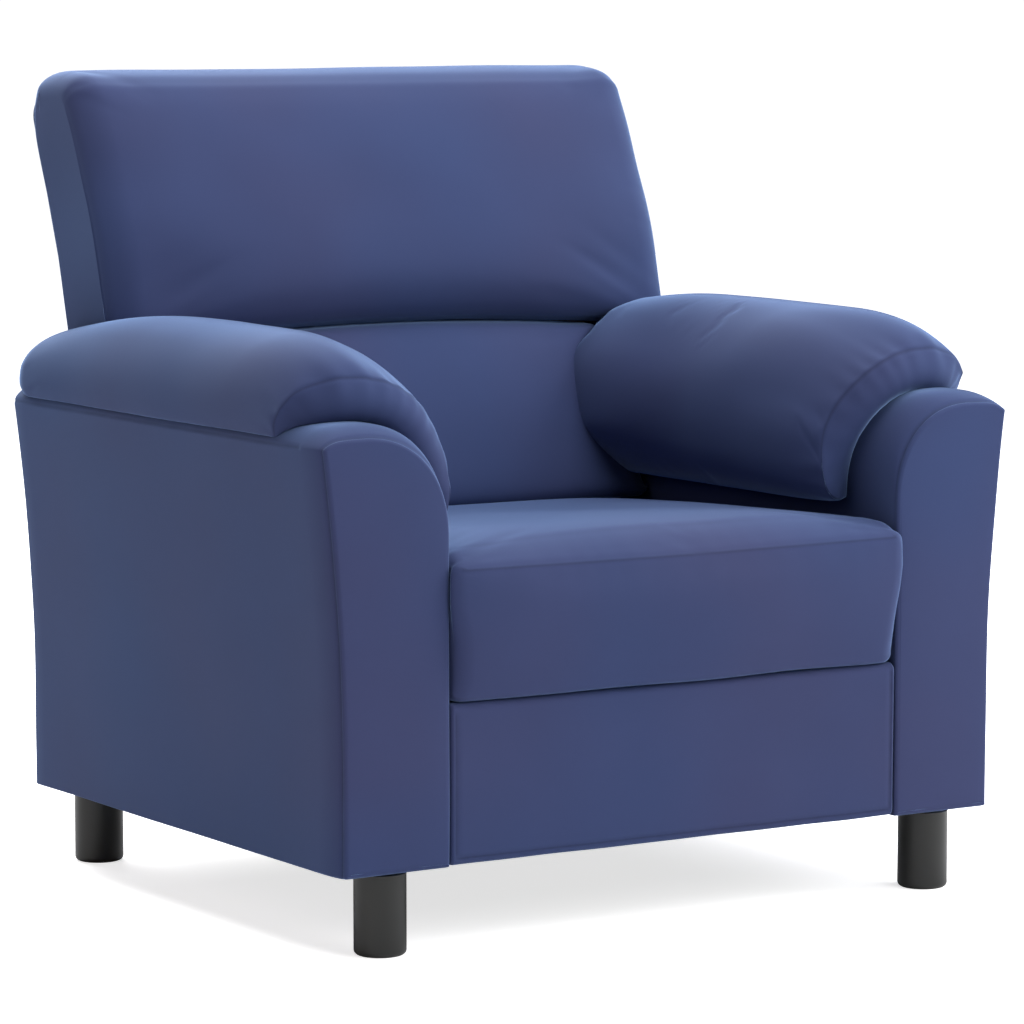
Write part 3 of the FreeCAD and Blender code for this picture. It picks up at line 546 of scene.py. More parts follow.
def smoothed(piece: bpy.types.Object, values: Array, passes: int) -> Array:
    """Averages each point's value with its neighbours' along the mesh's edges.

    One pass takes half of the point's own value and half of the mean over its neighbours.

    Args:
        piece: The mesh.
        values: One row for each point.
        passes: How often to average.

    Returns:
        The averaged values.
    """
    flat = np.empty(len(piece.data.edges) * 2, np.int32)
    piece.data.edges.foreach_get("vertices", flat)
    first, second = flat.reshape(-1, 2).T
    count = len(values)
    ways = np.bincount(first, minlength=count) + np.bincount(second, minlength=count)
    for _ in range(passes):
        total = [
            np.bincount(first, column[second], count) + np.bincount(second, column[first], count)
            for column in values.T
        ]
        values = 0.5 * values + 0.5 * np.stack(total, axis=1) / ways[:, None]
    return values


def swell(
    piece: bpy.types.Object,
    held: Array,
    cap: float,
    limit: Callable[[Array], Array] | None = None,
    pressure: float = 4.0,
    frames: int = 20,
    mass: float = 0.3,
    creases: float = 1.0,
) -> None:
    """Swells a closed cover by a cloth simulation with air in it and no gravity.

    Args:
        piece: The cover.
        held: Which points stay where they are.
        cap: The furthest that a point may move.
        limit: Brings points back into the space that the cover has.
        pressure: How hard the air presses.
        frames: How many frames the simulation runs for.
        mass: The cloth's mass at each point; less lets a fine mesh move further.
        creases: How much of the fine folds stays, from 0 to 1.
    """
    quality, broad_passes = 5, 60
    before = points_of(piece)
    place = piece.vertex_groups.new(name="held")
    place.add(np.flatnonzero(held).tolist(), 1.0, "REPLACE")
    modifier = piece.modifiers.new("swell", "CLOTH")
    cloth = modifier.settings
    cloth.vertex_group_mass = place.name
    cloth.quality = quality
    cloth.mass = mass
    cloth.use_pressure = True
    cloth.uniform_pressure_force = pressure
    cloth.effector_weights.gravity = 0.0
    modifier.point_cache.frame_start = 1
    modifier.point_cache.frame_end = frames
    scene = bpy.context.scene
    for frame in range(1, frames + 1):
        scene.frame_set(frame)
    graph = bpy.context.evaluated_depsgraph_get()
    after = points_of(piece.evaluated_get(graph))
    piece.modifiers.remove(modifier)
    piece.vertex_groups.remove(place)
    scene.frame_set(1)
    move = after - before
    size = np.linalg.norm(move, axis=1, keepdims=True)
    move *= cap * np.tanh(size / cap) / np.maximum(size, TINY)
    broad = smoothed(piece, move, broad_passes)
    move = broad + creases * (move - broad)
    points = before + move
    place_points(piece, limit(points) if limit else points)
    LOG.info("%s swells by %.1f mm at most", piece.name, 1000 * float(size.max()))


# ---------------------------------------------------------------------------------------------
# Finishes
# ---------------------------------------------------------------------------------------------


def group(
    name: str, inputs: Sequence[tuple[str, float]], outputs: Sequence[tuple[str, str]]
) -> tuple[bpy.types.NodeTree, bpy.types.Node, bpy.types.Node]:
    """Makes a shader group that has a vector input, float inputs and the given outputs.

    Args:
        name: The group's name.
        inputs: The name and the first value of each float input.
        outputs: The name and the socket type of each output.

    Returns:
        The group, its input node and its output node.
    """
    tree = bpy.data.node_groups.new(name, "ShaderNodeTree")
    tree.interface.new_socket("Vector", in_out="INPUT", socket_type="NodeSocketVector")
    for label, value in inputs:
        made = tree.interface.new_socket(label, in_out="INPUT", socket_type="NodeSocketFloat")
        made.default_value = value
    for label, kind in outputs:
        tree.interface.new_socket(label, in_out="OUTPUT", socket_type=kind)
    return tree, tree.nodes.new("NodeGroupInput"), tree.nodes.new("NodeGroupOutput")


def feed(
    tree: bpy.types.NodeTree, socket: bpy.types.NodeSocket, value: bpy.types.NodeSocket | float
) -> None:
    """Sets an input to a number, or links another node's output to it.

    Args:
        tree: The tree that holds the nodes.
        socket: The input.
        value: The number or the output.
    """
    if isinstance(value, (int, float)):
        socket.default_value = value
    else:
        tree.links.new(value, socket)


def math_node(
    tree: bpy.types.NodeTree,
    way: str,
    first: bpy.types.NodeSocket | float,
    second: bpy.types.NodeSocket | float,
) -> bpy.types.NodeSocket:
    """Adds a Math node.

    Args:
        tree: The tree to add it to.
        way: Its operation.
        first: Its first term.
        second: Its second term.

    Returns:
        Its result.
    """
    node = tree.nodes.new("ShaderNodeMath")
    node.operation = way
    feed(tree, node.inputs[0], first)
    feed(tree, node.inputs[1], second)
    return node.outputs[0]


def centred(
    tree: bpy.types.NodeTree,
    noise: bpy.types.NodeSocket,
    factor: bpy.types.NodeSocket | float,
    middle: float,
) -> bpy.types.NodeSocket:
    """Turns a noise from 0 to 1 into (noise - 0.5) factor + middle.

    Args:
        tree: The tree to add the nodes to.
        noise: The noise.
        factor: How strong it becomes.
        middle: The value that it then varies about.

    Returns:
        The result.
    """
    spread = math_node(tree, "MULTIPLY", math_node(tree, "SUBTRACT", noise, 0.5), factor)
    return math_node(tree, "ADD", spread, middle)


def noise_node(
    tree: bpy.types.NodeTree,
    vector: bpy.types.NodeSocket,
    scale: bpy.types.NodeSocket | float,
    detail: float,
    rough: float = 0.5,
) -> bpy.types.NodeSocket:
    """Adds a Noise node.

    Args:
        tree: The tree to add it to.
        vector: Where the noise is read.
        scale: How fine it is.
        detail: How many finer layers it has.
        rough: How strong the finer layers are.

    Returns:
        Its value, from 0 to 1.
    """
    node = tree.nodes.new("ShaderNodeTexNoise")
    node.inputs["Detail"].default_value = detail
    node.inputs["Roughness"].default_value = rough
    tree.links.new(vector, node.inputs["Vector"])
    feed(tree, node.inputs["Scale"], scale)
    return node.outputs["Fac"]


def colour_mix(
    tree: bpy.types.NodeTree, first: Colour, second: Colour, share: bpy.types.NodeSocket
) -> bpy.types.NodeSocket:
    """Blends two colours.

    Args:
        tree: The tree to add the node to.
        first: The colour at a share of 0.
        second: The colour at a share of 1.
        share: The share.

    Returns:
        The blend.
    """
    pair = tree.nodes.new("ShaderNodeMix")
    pair.data_type = "RGBA"
    pair.inputs["A"].default_value = (*first, 1.0)
    pair.inputs["B"].default_value = (*second, 1.0)
    tree.links.new(share, pair.inputs["Factor"])
    return pair.outputs["Result"]


def tinted(
    tree: bpy.types.NodeTree, colour: bpy.types.NodeSocket | Colour, shade: bpy.types.NodeSocket
) -> None:
    """Makes the base colour a colour times a shade.

    Args:
        tree: The material's tree.
        colour: The colour, constant or from another node.
        shade: The shade.
    """
    tint = tree.nodes.new("ShaderNodeMix")
    tint.data_type = "RGBA"
    tint.blend_type = "MULTIPLY"
    tint.inputs["Factor"].default_value = 1.0
    if isinstance(colour, tuple):
        tint.inputs["A"].default_value = (*colour, 1.0)
    else:
        tree.links.new(colour, tint.inputs["A"])
    grey = tree.nodes.new("ShaderNodeCombineColor")
    for channel in ("Red", "Green", "Blue"):
        tree.links.new(shade, grey.inputs[channel])
    tree.links.new(grey.outputs["Color"], tint.inputs["B"])
    tree.links.new(tint.outputs["Result"], tree.nodes["Principled BSDF"].inputs["Base Color"])


def bumped(
    tree: bpy.types.NodeTree, height: bpy.types.NodeSocket, strength: float, depth: float
) -> None:
    """Gives the material a bump.

    Args:
        tree: The material's tree.
        height: The bump's height, from 0 to 1.
        strength: How much of the bump shows.
        depth: The length that a height of 1 stands for.
    """
    bump = tree.nodes.new("ShaderNodeBump")
    bump.inputs["Strength"].default_value = strength
    bump.inputs["Distance"].default_value = depth
    tree.links.new(height, bump.inputs["Height"])
    tree.links.new(bump.outputs["Normal"], tree.nodes["Principled BSDF"].inputs["Normal"])


def object_place(tree: bpy.types.NodeTree) -> bpy.types.NodeSocket:
    """Each spot's place in its own piece."""
    return tree.nodes.new("ShaderNodeTexCoord").outputs["Object"]


def nap_group() -> bpy.types.NodeTree:
    """The shared nap of cloth: where it is brushed lighter or darker, and its fine height.

    Returns:
        The group, whose outputs are Shade, Height and Drift.
    """
    name = "cloth_nap"
    fibre_contrast, drift_scale, drift_contrast = 0.16, 0.55, 3.0
    if name in bpy.data.node_groups:
        return bpy.data.node_groups[name]
    inputs = [("Thread Scale", 900.0), ("Brush Scale", 9.0), ("Brush Contrast", 0.12)]
    outputs = [(label, "NodeSocketFloat") for label in ("Shade", "Height", "Drift")]
    tree, entry, leave = group(name, inputs, outputs)
    vector = entry.outputs["Vector"]
    brush = noise_node(tree, vector, entry.outputs["Brush Scale"], 3.0, 0.55)
    fibre = noise_node(tree, vector, entry.outputs["Thread Scale"], 2.0, 0.6)
    lean = math_node(tree, "SUBTRACT", brush, 0.5)
    strong = math_node(tree, "MULTIPLY", lean, entry.outputs["Brush Contrast"])
    grain = centred(tree, fibre, fibre_contrast, 1.0)
    tree.links.new(math_node(tree, "ADD", strong, grain), leave.inputs["Shade"])
    tree.links.new(fibre, leave.inputs["Height"])
    slow = math_node(tree, "MULTIPLY", entry.outputs["Brush Scale"], drift_scale)
    drift = centred(tree, noise_node(tree, vector, slow, 1.5, 0.4), drift_contrast, 0.5)
    held = math_node(tree, "MINIMUM", drift, 1.0)
    tree.links.new(math_node(tree, "MAXIMUM", held, 0.0), leave.inputs["Drift"])
    return tree


@dataclass(frozen=True)
class Finish:
    """A finish by its name: its material is made once, and is shared after that."""

    name: str

    def paint(self, tree: bpy.types.NodeTree, shader: bpy.types.Node) -> None:
        """Sets the material's shader and adds its nodes."""

    def build(self) -> bpy.types.Material:
        """Makes the material, unless it is there already.

        Returns:
            The material.
        """
        if self.name in bpy.data.materials:
            return bpy.data.materials[self.name]
        material = bpy.data.materials.new(self.name)
        material.use_nodes = True
        tree = material.node_tree
        self.paint(tree, tree.nodes["Principled BSDF"])
        return material


@dataclass(frozen=True)
class Cloth(Finish):
    """A napped or woven cloth."""

    colour: Colour
    other: Colour
    roughness: float = 0.8
    sheen: float = 0.0
    sheen_rough: float = 0.4
    sheen_colour: Colour = (1.0, 1.0, 1.0)
    specular: float = 0.15
    thread: float = 900.0
    brush: float = 9.0
    contrast: float = 0.12
    bump: float = 0.15
    bump_depth: float = 0.0003
    # How much painted shade darkens the cloth along its seams.
    seam_painted_shade: float = 0.30

    def paint(self, tree: bpy.types.NodeTree, shader: bpy.types.Node) -> None:
        """Adds nap colour and bump, with painted shade darkening the seams, and a constant sheen.

        Args:
            tree: The material's tree.
            shader: Its shader.
        """
        shader.inputs["Roughness"].default_value = self.roughness
        shader.inputs["Sheen Weight"].default_value = self.sheen
        shader.inputs["Sheen Roughness"].default_value = self.sheen_rough
        shader.inputs["Sheen Tint"].default_value = (*self.sheen_colour, 1.0)
        shader.inputs["Specular IOR Level"].default_value = self.specular
        nap = tree.nodes.new("ShaderNodeGroup")
        nap.node_tree = nap_group()
        nap.inputs["Thread Scale"].default_value = self.thread
        nap.inputs["Brush Scale"].default_value = self.brush
        nap.inputs["Brush Contrast"].default_value = self.contrast
        tree.links.new(object_place(tree), nap.inputs["Vector"])
        seam = tree.nodes.new("ShaderNodeAttribute")
        seam.attribute_name = "seam"
        # Painted shade: the seam mask darkens the base colour along each seam.
        dark = math_node(tree, "MULTIPLY", seam.outputs["Fac"], self.seam_painted_shade)
        shade = math_node(tree, "SUBTRACT", nap.outputs["Shade"], dark)
        tinted(tree, colour_mix(tree, self.colour, self.other, nap.outputs["Drift"]), shade)
        bumped(tree, nap.outputs["Height"], self.bump, self.bump_depth)


@dataclass(frozen=True)
class Timber(Finish):
    """Planed wood or hardboard, with grain along one axis."""

    light: Colour
    dark: Colour
    stretch: tuple[float, float, float]
    scale: float = 14.0
    roughness: float = 0.62
    bump: float = 0.25
    bump_depth: float = 0.0005

    def paint(self, tree: bpy.types.NodeTree, shader: bpy.types.Node) -> None:
        """Adds a noise pattern drawn out along the grain.

        Args:
            tree: The material's tree.
            shader: Its shader.
        """
        shader.inputs["Roughness"].default_value = self.roughness
        turn = tree.nodes.new("ShaderNodeMapping")
        turn.inputs["Scale"].default_value = self.stretch
        tree.links.new(object_place(tree), turn.inputs["Vector"])
        grain = noise_node(tree, turn.outputs["Vector"], self.scale, 6.0, 0.6)
        blend = colour_mix(tree, self.light, self.dark, grain)
        tree.links.new(blend, shader.inputs["Base Color"])
        bumped(tree, grain, self.bump, self.bump_depth)


@dataclass(frozen=True)
class Coated(Finish):
    """Metal or moulded plastic with a fine uneven surface."""

    colour: Colour
    metallic: float
    roughness: float
    spread: float = 0.08
    scale: float = 420.0
    broad_scale: float = 22.0
    shade_spread: float = 0.3
    bump: float = 0.08
    bump_depth: float = 0.0002

    def paint(self, tree: bpy.types.NodeTree, shader: bpy.types.Node) -> None:
        """Makes the roughness and the shade follow a broad noise, and the height a fine one.

        Args:
            tree: The material's tree.
            shader: Its shader.
        """
        shader.inputs["Metallic"].default_value = self.metallic
        where = object_place(tree)
        fine = noise_node(tree, where, self.scale, 3.0)
        broad = noise_node(tree, where, self.broad_scale, 4.0)
        rough = centred(tree, broad, self.spread, self.roughness)
        tree.links.new(rough, shader.inputs["Roughness"])
        tinted(tree, self.colour, centred(tree, broad, self.shade_spread, 1.0))
        bumped(tree, fine, self.bump, self.bump_depth)


VELVET = Cloth(
    "blue_microfibre",
    colour=(0.0315, 0.0480, 0.1290),
    other=(0.0375, 0.0450, 0.1150),
    roughness=0.85,
    sheen=0.78,
    sheen_rough=0.35,
    sheen_colour=(0.37, 0.575, 1.0),
    thread=1400.0,
    brush=7.0,
    contrast=0.16,
    bump=0.10,
)
LINING = Cloth(
    "black_lining",
    colour=(0.012, 0.012, 0.013),
    other=(0.015, 0.015, 0.016),
    roughness=0.95,
    thread=700.0,
    bump=0.5,
)
FELT = Cloth(
    "grey_felt",
    colour=(0.30, 0.30, 0.30),
    other=(0.25, 0.26, 0.27),
    roughness=0.95,
    thread=500.0,
    bump=0.6,
)
WEBBING = Cloth(
    "elastic_webbing",
    colour=(0.42, 0.36, 0.27),
    other=(0.38, 0.33, 0.25),
    roughness=0.85,
    thread=380.0,
    bump=0.7,
)
PINE = Timber("pine", (0.62, 0.44, 0.25), (0.45, 0.28, 0.13), (6.0, 0.6, 6.0))
HARDBOARD = Timber("hardboard", (0.30, 0.19, 0.11), (0.22, 0.13, 0.07), (30.0, 30.0, 30.0), 20.0)
STEEL = Coated("zinc_plated_steel", (0.55, 0.55, 0.57), metallic=1.0, roughness=0.38)
LEG = Coated("dark_grey_leg", (0.0082, 0.0090, 0.0088), metallic=0.0, roughness=0.42, spread=0.12)


def dress(piece: bpy.types.Object, material: bpy.types.Material) -> None:
    """Gives a piece one material in all its slots.

    Args:
        piece: The piece.
        material: Its material.
    """
    if not piece.material_slots:
        piece.data.materials.append(material)
    for place in piece.material_slots:
        place.material = material


def upholstered(piece: bpy.types.Object, fill: float, nodes: Sequence[str]) -> bpy.types.Object:
    """Finishes a padded piece: its cloth, its body and the CAD nodes it stands for.

    Args:
        piece: The piece.
        fill: How full the cover is, from 0 to 1; not used.
        nodes: The CAD nodes that it replaces.

    Returns:
        The piece.
    """
    dress(piece, VELVET.build())
    # An empty seam mask where no seam was pressed, so no painted seam shade shows.
    if piece.data.attributes.get("seam") is None:
        piece.data.attributes.new("seam", "FLOAT", "POINT")
    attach(piece, "root")
    if nodes:
        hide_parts(*nodes)
    LOG.info("%s: %d faces", piece.name, len(piece.data.polygons))
    return piece


# ---------------------------------------------------------------------------------------------
# Arms
# ---------------------------------------------------------------------------------------------


def rolled(middle: float, inner: float, foot: float, top: float, power: float) -> Array:
    """A quarter of a superellipse, from (middle, top) round to (inner, foot).

    The shares of its width and its height are the sine and the cosine of the turn, each to the
    power 2 / power.

    Args:
        middle: The X of its top end.
        inner: The X of its lower end.
        foot: The Z of its lower end.
        top: The Z of its top end.
        power: How square it is: 2 is an ellipse.

    Returns:
        Its points in (X, Z).
    """
    turn, share = np.linspace(0, QUARTER, 30), 2 / power
    roll_x = middle - (middle - inner) * np.sin(turn) ** share
    roll_z = foot + (top - foot) * np.cos(turn) ** share
    return np.stack([roll_x, roll_z], axis=1)


@dataclass(frozen=True)
class Arm:
    """One arm's sewn cover: front facing, outer side, rolled top, inner side and rear."""

    side: Side
    inner: float = 0.2605
    outer: float = 0.3775
    flare: float = 0.0210
    flare_foot: float = 0.176
    shoulder: float = 0.4815
    crest: float = 0.5005
    crest_x: float = 0.345
    roll_foot: float = 0.412
    roll_power: float = 2.55
    foot: float = 0.0808
    front: float = -0.3495
    rear: float = 0.2815
    nose: float = 0.042
    edge: float = 0.006
    facing_edge: float = 0.0045
    facing_inset: float = 0.0040
    facing_inner: float = 0.2588
    facing_middle: float = 0.349
    facing_foot: float = 0.392
    facing_top: float = 0.4900
    facing_power: float = 2.2
    tight: float = 0.97
    brow: Knots = ((0.0, 0.0), (0.004, 0.0055), (0.018, -0.0045), (0.036, -0.0008))
    facing_brow: Knots = ((0.010, -0.0030), (0.022, -0.0008))
    gather: float = 0.8
    across: int = 44
    along: int = 66

    def outer_run(self, draw_in: float) -> Array:
        """The outer side from foot to shoulder: vertical, then flaring with the height squared.

        Args:
            draw_in: How far the run lies inside the cover.

        Returns:
            The run's points in (X, Z).
        """
        height = np.linspace(self.foot, self.shoulder, 40)
        rise = np.clip((height - self.flare_foot) / (self.shoulder - self.flare_foot), 0, 1)
        return np.stack([self.outer + self.flare * rise**2 - draw_in, height], axis=1)

    def roll_at(self, height: Array) -> Array:
        """Finds the rolled inner side, on the superellipse of the roll.

        Args:
            height: The heights.

        Returns:
            The side's X at each height.
        """
        rise = np.clip((height - self.roll_foot) / (self.crest - self.roll_foot), 0.0, 1.0)
        across = (1 - rise**self.roll_power) ** (1 / self.roll_power)
        return self.crest_x - (self.crest_x - self.inner) * across

    def body(self) -> Section:
        """The arm's section behind its front: flared side, shallow brow, rolled inner edge.

        Returns:
            The section in (X, Z).
        """
        outer = self.outer_run(0.0)
        edge = outer[-1]
        levels = (self.shoulder, self.shoulder, self.crest, self.crest)
        brow = [(edge[0] - x, level + z) for (x, z), level in zip(self.brow, levels)]
        roll = rolled(self.crest_x, self.inner, self.roll_foot, self.crest, self.roll_power)
        runs = [
            [(self.inner, self.foot), (self.outer, self.foot)],
            outer,
            np.vstack([brow, roll]),
            [(self.inner, self.roll_foot), (self.inner, self.foot)],
        ]
        return Section.of(runs, self.across, self.along, smooth=2, gather=self.gather)

    def facing(self) -> Section:
        """The outline of the front facing, where it is sewn to the rest.

        Returns:
            The outline in (X, Z).
        """
        outer = self.outer_run(self.facing_inset)
        edge = outer[-1]
        inner, foot, top = self.facing_inner, self.facing_foot, self.facing_top
        brow = [edge, *((edge[0] - x, top + z) for x, z in self.facing_brow)]
        roll = rolled(self.facing_middle, inner, foot, top, self.facing_power)
        runs = [
            [(inner, self.foot), (self.outer - self.facing_inset, self.foot)],
            outer,
            np.vstack([brow, roll]),
            [(inner, foot), (inner, self.foot)],
        ]
        return Section.of(runs, self.across, self.along, smooth=2, gather=self.gather)

    def rings(self, body: Section, facing: Section) -> list[Array]:
        """The cover's rings from its rear edge to the middle of its facing's rounded edge.

        Over the nose the body turns into the facing along a quarter circle: at a share s of the
        way the outline has turned by 1 - sqrt(1 - (tight s)^2), scaled to end at 1.

        Args:
            body: The section behind the nose.
            facing: The facing's outline.

        Returns:
            The rings, rear first.
        """
        mirror = np.array([self.side.value, 1.0])
        body_in, facing_in = body.inward(), facing.inward()
        rings: list[Array] = []
        for turn in np.linspace(0, QUARTER, 6)[:-1]:
            draw = self.edge * (1 - np.sin(turn))
            place = self.rear - self.edge * (1 - np.cos(turn))
            rings.append(lifted((body.points + body_in * draw) * mirror, place, Axis.ALONG_Y))
        nose_end = self.front + self.nose
        for place in np.linspace(self.rear - self.edge, nose_end, 34):
            rings.append(lifted(body.points * mirror, place, Axis.ALONG_Y))
        seam_y = self.front + self.facing_edge
        for step in np.linspace(0, 1, 16)[1:]:
            share = 1 - math.sqrt(max(0.0, 1 - (step * self.tight) ** 2))
            share /= 1 - math.sqrt(1 - self.tight**2)
            place = nose_end + (seam_y - nose_end) * step
            rings.append(lifted(body.mixed(facing, share).points * mirror, place, Axis.ALONG_Y))
        for turn in np.linspace(0, QUARTER, 9)[1:]:
            draw = self.facing_edge * (1 - math.cos(turn))
            place = seam_y - self.facing_edge * math.sin(turn)
            rings.append(lifted((facing.points + facing_in * draw) * mirror, place, Axis.ALONG_Y))
        return rings

    def build(self) -> bpy.types.Object:
        """Builds the cover, sews its facing seam and its shoulder seam, and dresses it.

        Returns:
            The cover.
        """
        word, sign = self.side.word, self.side.value
        body, facing = self.body(), self.facing()
        rises = ((0, 0.001, 0), (0, -0.0016, 0))
        piece = carried(f"arm_{word}_cover", self.rings(body, facing), body, rises)
        settled(piece, 0.0005, 0.19, 11 if self.side is Side.LEFT else 12)
        seam_y = self.front + self.facing_edge
        seam = lifted(facing.points * [sign, 1.0], seam_y, Axis.ALONG_Y)
        Seam(depth=0.0008, width=0.0013).press(piece, seam[self.across :])
        shoulder_x = sign * (self.outer + self.flare)
        ends = (self.rear, self.front + self.nose)
        ridge = np.array([(shoulder_x, y, self.shoulder) for y in ends])
        Seam(depth=0.0012, width=0.0018).press(piece, ridge)
        parts = ("front_facing", "side_cover", "top_cover", "rear_cover")
        return upholstered(piece, 0.95, [f"arm_{word}_{part}" for part in parts])


# ---------------------------------------------------------------------------------------------
# Arm pads
# ---------------------------------------------------------------------------------------------


@dataclass(frozen=True)
class Pad:
    """The pillow draped over an arm, with a sewn end panel at its front.

    The knots are those of the left pad. middle_runs is its section half way along, in (X, Z), and
    panel_runs is the sewn edge of the end panel, in (X, Z, Y); the saddle that rests on the arm is
    each one's first run.
    """

    middle_runs: Runs = (
        (
            (0.2590, 0.3890), (0.2590, 0.4200), (0.2625, 0.4480), (0.2760, 0.4740),
            (0.2960, 0.4920), (0.3200, 0.5005), (0.3450, 0.5020), (0.3650, 0.5012),
            (0.3840, 0.4965), (0.3975, 0.4855),
        ),
        ((0.3975, 0.4855), (0.4012, 0.4940), (0.4018, 0.5060)),
        (
            (0.4018, 0.5060), (0.3990, 0.5270), (0.3880, 0.5480), (0.3700, 0.5635),
            (0.3450, 0.5730), (0.3180, 0.5755), (0.2900, 0.5720), (0.2620, 0.5615),
            (0.2385, 0.5430), (0.2215, 0.5190), (0.2110, 0.4880), (0.2065, 0.4560),
            (0.2075, 0.4260),
        ),
        ((0.2075, 0.4260), (0.2160, 0.4010), (0.2350, 0.3880), (0.2590, 0.3890)),
    )
    panel_runs: Runs = (
        (
            (0.2590, 0.3920, -0.264), (0.2592, 0.4200, -0.267), (0.2628, 0.4480, -0.275),
            (0.2762, 0.4740, -0.284), (0.2962, 0.4915, -0.291), (0.3200, 0.4996, -0.293),
            (0.3450, 0.5008, -0.292), (0.3650, 0.4996, -0.287), (0.3830, 0.4958, -0.275),
            (0.3960, 0.4855, -0.260),
        ),
        ((0.3960, 0.4855, -0.260), (0.3990, 0.4980, -0.264), (0.3985, 0.5120, -0.273)),
        (
            (0.3985, 0.5120, -0.273), (0.3870, 0.5265, -0.278), (0.3720, 0.5340, -0.282),
            (0.3570, 0.5385, -0.286), (0.3400, 0.5415, -0.290), (0.3110, 0.5398, -0.292),
            (0.2840, 0.5320, -0.293), (0.2570, 0.5150, -0.289), (0.2335, 0.4885, -0.280),
            (0.2195, 0.4590, -0.277), (0.2160, 0.4260, -0.281),
        ),
        (
            (0.2160, 0.4260, -0.281), (0.2230, 0.4020, -0.281), (0.2400, 0.3910, -0.275),
            (0.2590, 0.3920, -0.264),
        ),
    )
    across: int = 84
    along: int = 16
    inner_fall: float = 0.180
    outer_fall: float = 0.115
    inner_end: float = 0.014
    outer_end: float = 0.040
    inner_rear: float = 0.150
    outer_rear: float = 0.280
    belly: float = 0.022
    crest_drop: float = 0.023
    crest_power: float = 1.8
    crest_height: Ramp = Ramp(0.5025, 0.075)
    crest_length: Ramp = Ramp(0.05, 0.21)
    brow: Ramp = Ramp(0.345, 0.05)
    beside: Ramp = Ramp(0.322, 0.022)
    undercut: float = 0.008
    undercut_height: Ramp = Ramp(0.500, -0.02)
    lean: float = 0.40
    lean_middle: float = 0.50
    lean_ends: tuple[float, float] = (-0.13, 0.08)
    inside: Ramp = Ramp(0.335, -0.060)
    above: Ramp = Ramp(0.455, 0.045)
    belly_side: Ramp = Ramp(0.250, -0.040)
    belly_foot: Ramp = Ramp(0.395, 0.05)
    belly_top: Ramp = Ramp(0.575, -0.06)
    belly_length: Ramp = Ramp(-0.06, 0.18)
    tight: float = 0.965
    rear_reach: float = 0.8
    rear_draw: float = 0.58
    ring_power: float = 1.35
    rings_behind: int = 14
    rings_along: int = 104
    rises: tuple[float, float] = (0.004, -0.009)
    held_saddle: float = 0.0035
    held_seam: float = 0.0016
    space: Knots = ((0.175, -1.0, 0.380), (0.4030, 1.0, 1.0))
    cap: float = 0.006

    def middle(self) -> Section:
        """The pad's section half way along: a saddle under a full crown."""
        return Section.of(self.middle_runs, self.across, self.along, smooth=1)

    def panel(self) -> tuple[Section, Array]:
        """The end panel's sewn edge: its section, and the Y of each of its points."""
        edge = Section.of(self.panel_runs, self.across, self.along, smooth=1)
        return Section(edge.points[:, :2], self.across, self.along), edge.points[:, 2]

    def rear_end(self, points: Array) -> Array:
        """Finds how far back the pad reaches: to the back inside, to the arm's rear outside.

        Args:
            points: The section's points.

        Returns:
            The Y of each point's end.
        """
        beside = self.beside.soft(points[:, 0])
        over = np.clip(points[:, 1] - self.lean_middle, *self.lean_ends)
        inner = self.inner_rear + self.lean * over
        outer = self.outer_rear - self.undercut * self.undercut_height.soft(points[:, 1])
        return inner * (1 - beside) + outer * beside

    def shaped(self, place: Array, middle: Section, panel: Section, panel_y: Array) -> Array:
        """The section's points where each has the given Y.

        From a distance L behind the panel the section turns into the panel's outline: with
        t = (panel + L - y) / L the share is t^2 inside the crest, and 1 - sqrt(1 - t^2) outside
        it. Towards the rear the inner side fills out and the crest drops.

        Args:
            place: The Y of each point.
            middle: The section half way along.
            panel: The end panel's outline.
            panel_y: The Y of each point of that outline.

        Returns:
            The points in (X, Z).
        """
        x, z = middle.points.T
        inside = self.inside.soft(x) * self.above.soft(z)
        reach = self.outer_fall + (self.inner_fall - self.outer_fall) * inside
        t = np.clip((panel_y + reach - place) / reach, 0.0, 1.0)
        dome = 1 - np.sqrt(1 - (self.tight * t) ** 2)
        dome /= 1 - math.sqrt(1 - self.tight**2)
        share = (inside * t**2 + (1 - inside) * dome)[:, None]
        points = middle.points * (1 - share) + panel.points * share
        belly = self.belly_side.soft(x) * self.belly_foot.soft(z) * self.belly_top.soft(z)
        points[:, 0] -= self.belly * belly * self.belly_length.soft(place)
        far = self.crest_length.straight(place) ** self.crest_power
        points[:, 1] -= self.crest_drop * self.crest_height.straight(z) * far
        return points

    def tucked(self, middle: Section, upper: Array, draw: Array) -> Array:
        """How the saddle's outer end slides in over the arm's brow where the pad is drawn in.

        Args:
            middle: The section half way along.
            upper: From 0 on the saddle to 1 above it, for each point.
            draw: How far each point is drawn in.

        Returns:
            Each point's shift in (X, Z), along the saddle.
        """
        x, z = middle.points.T
        order = np.argsort(x[: self.across])
        brow_x, brow_z = x[: self.across][order], z[: self.across][order]
        slide = (1 - upper) * draw * self.brow.soft(x)
        rise = np.interp(x - slide, brow_x, brow_z) - np.interp(x, brow_x, brow_z)
        return np.stack([-slide, rise * (slide > 0)], axis=1)

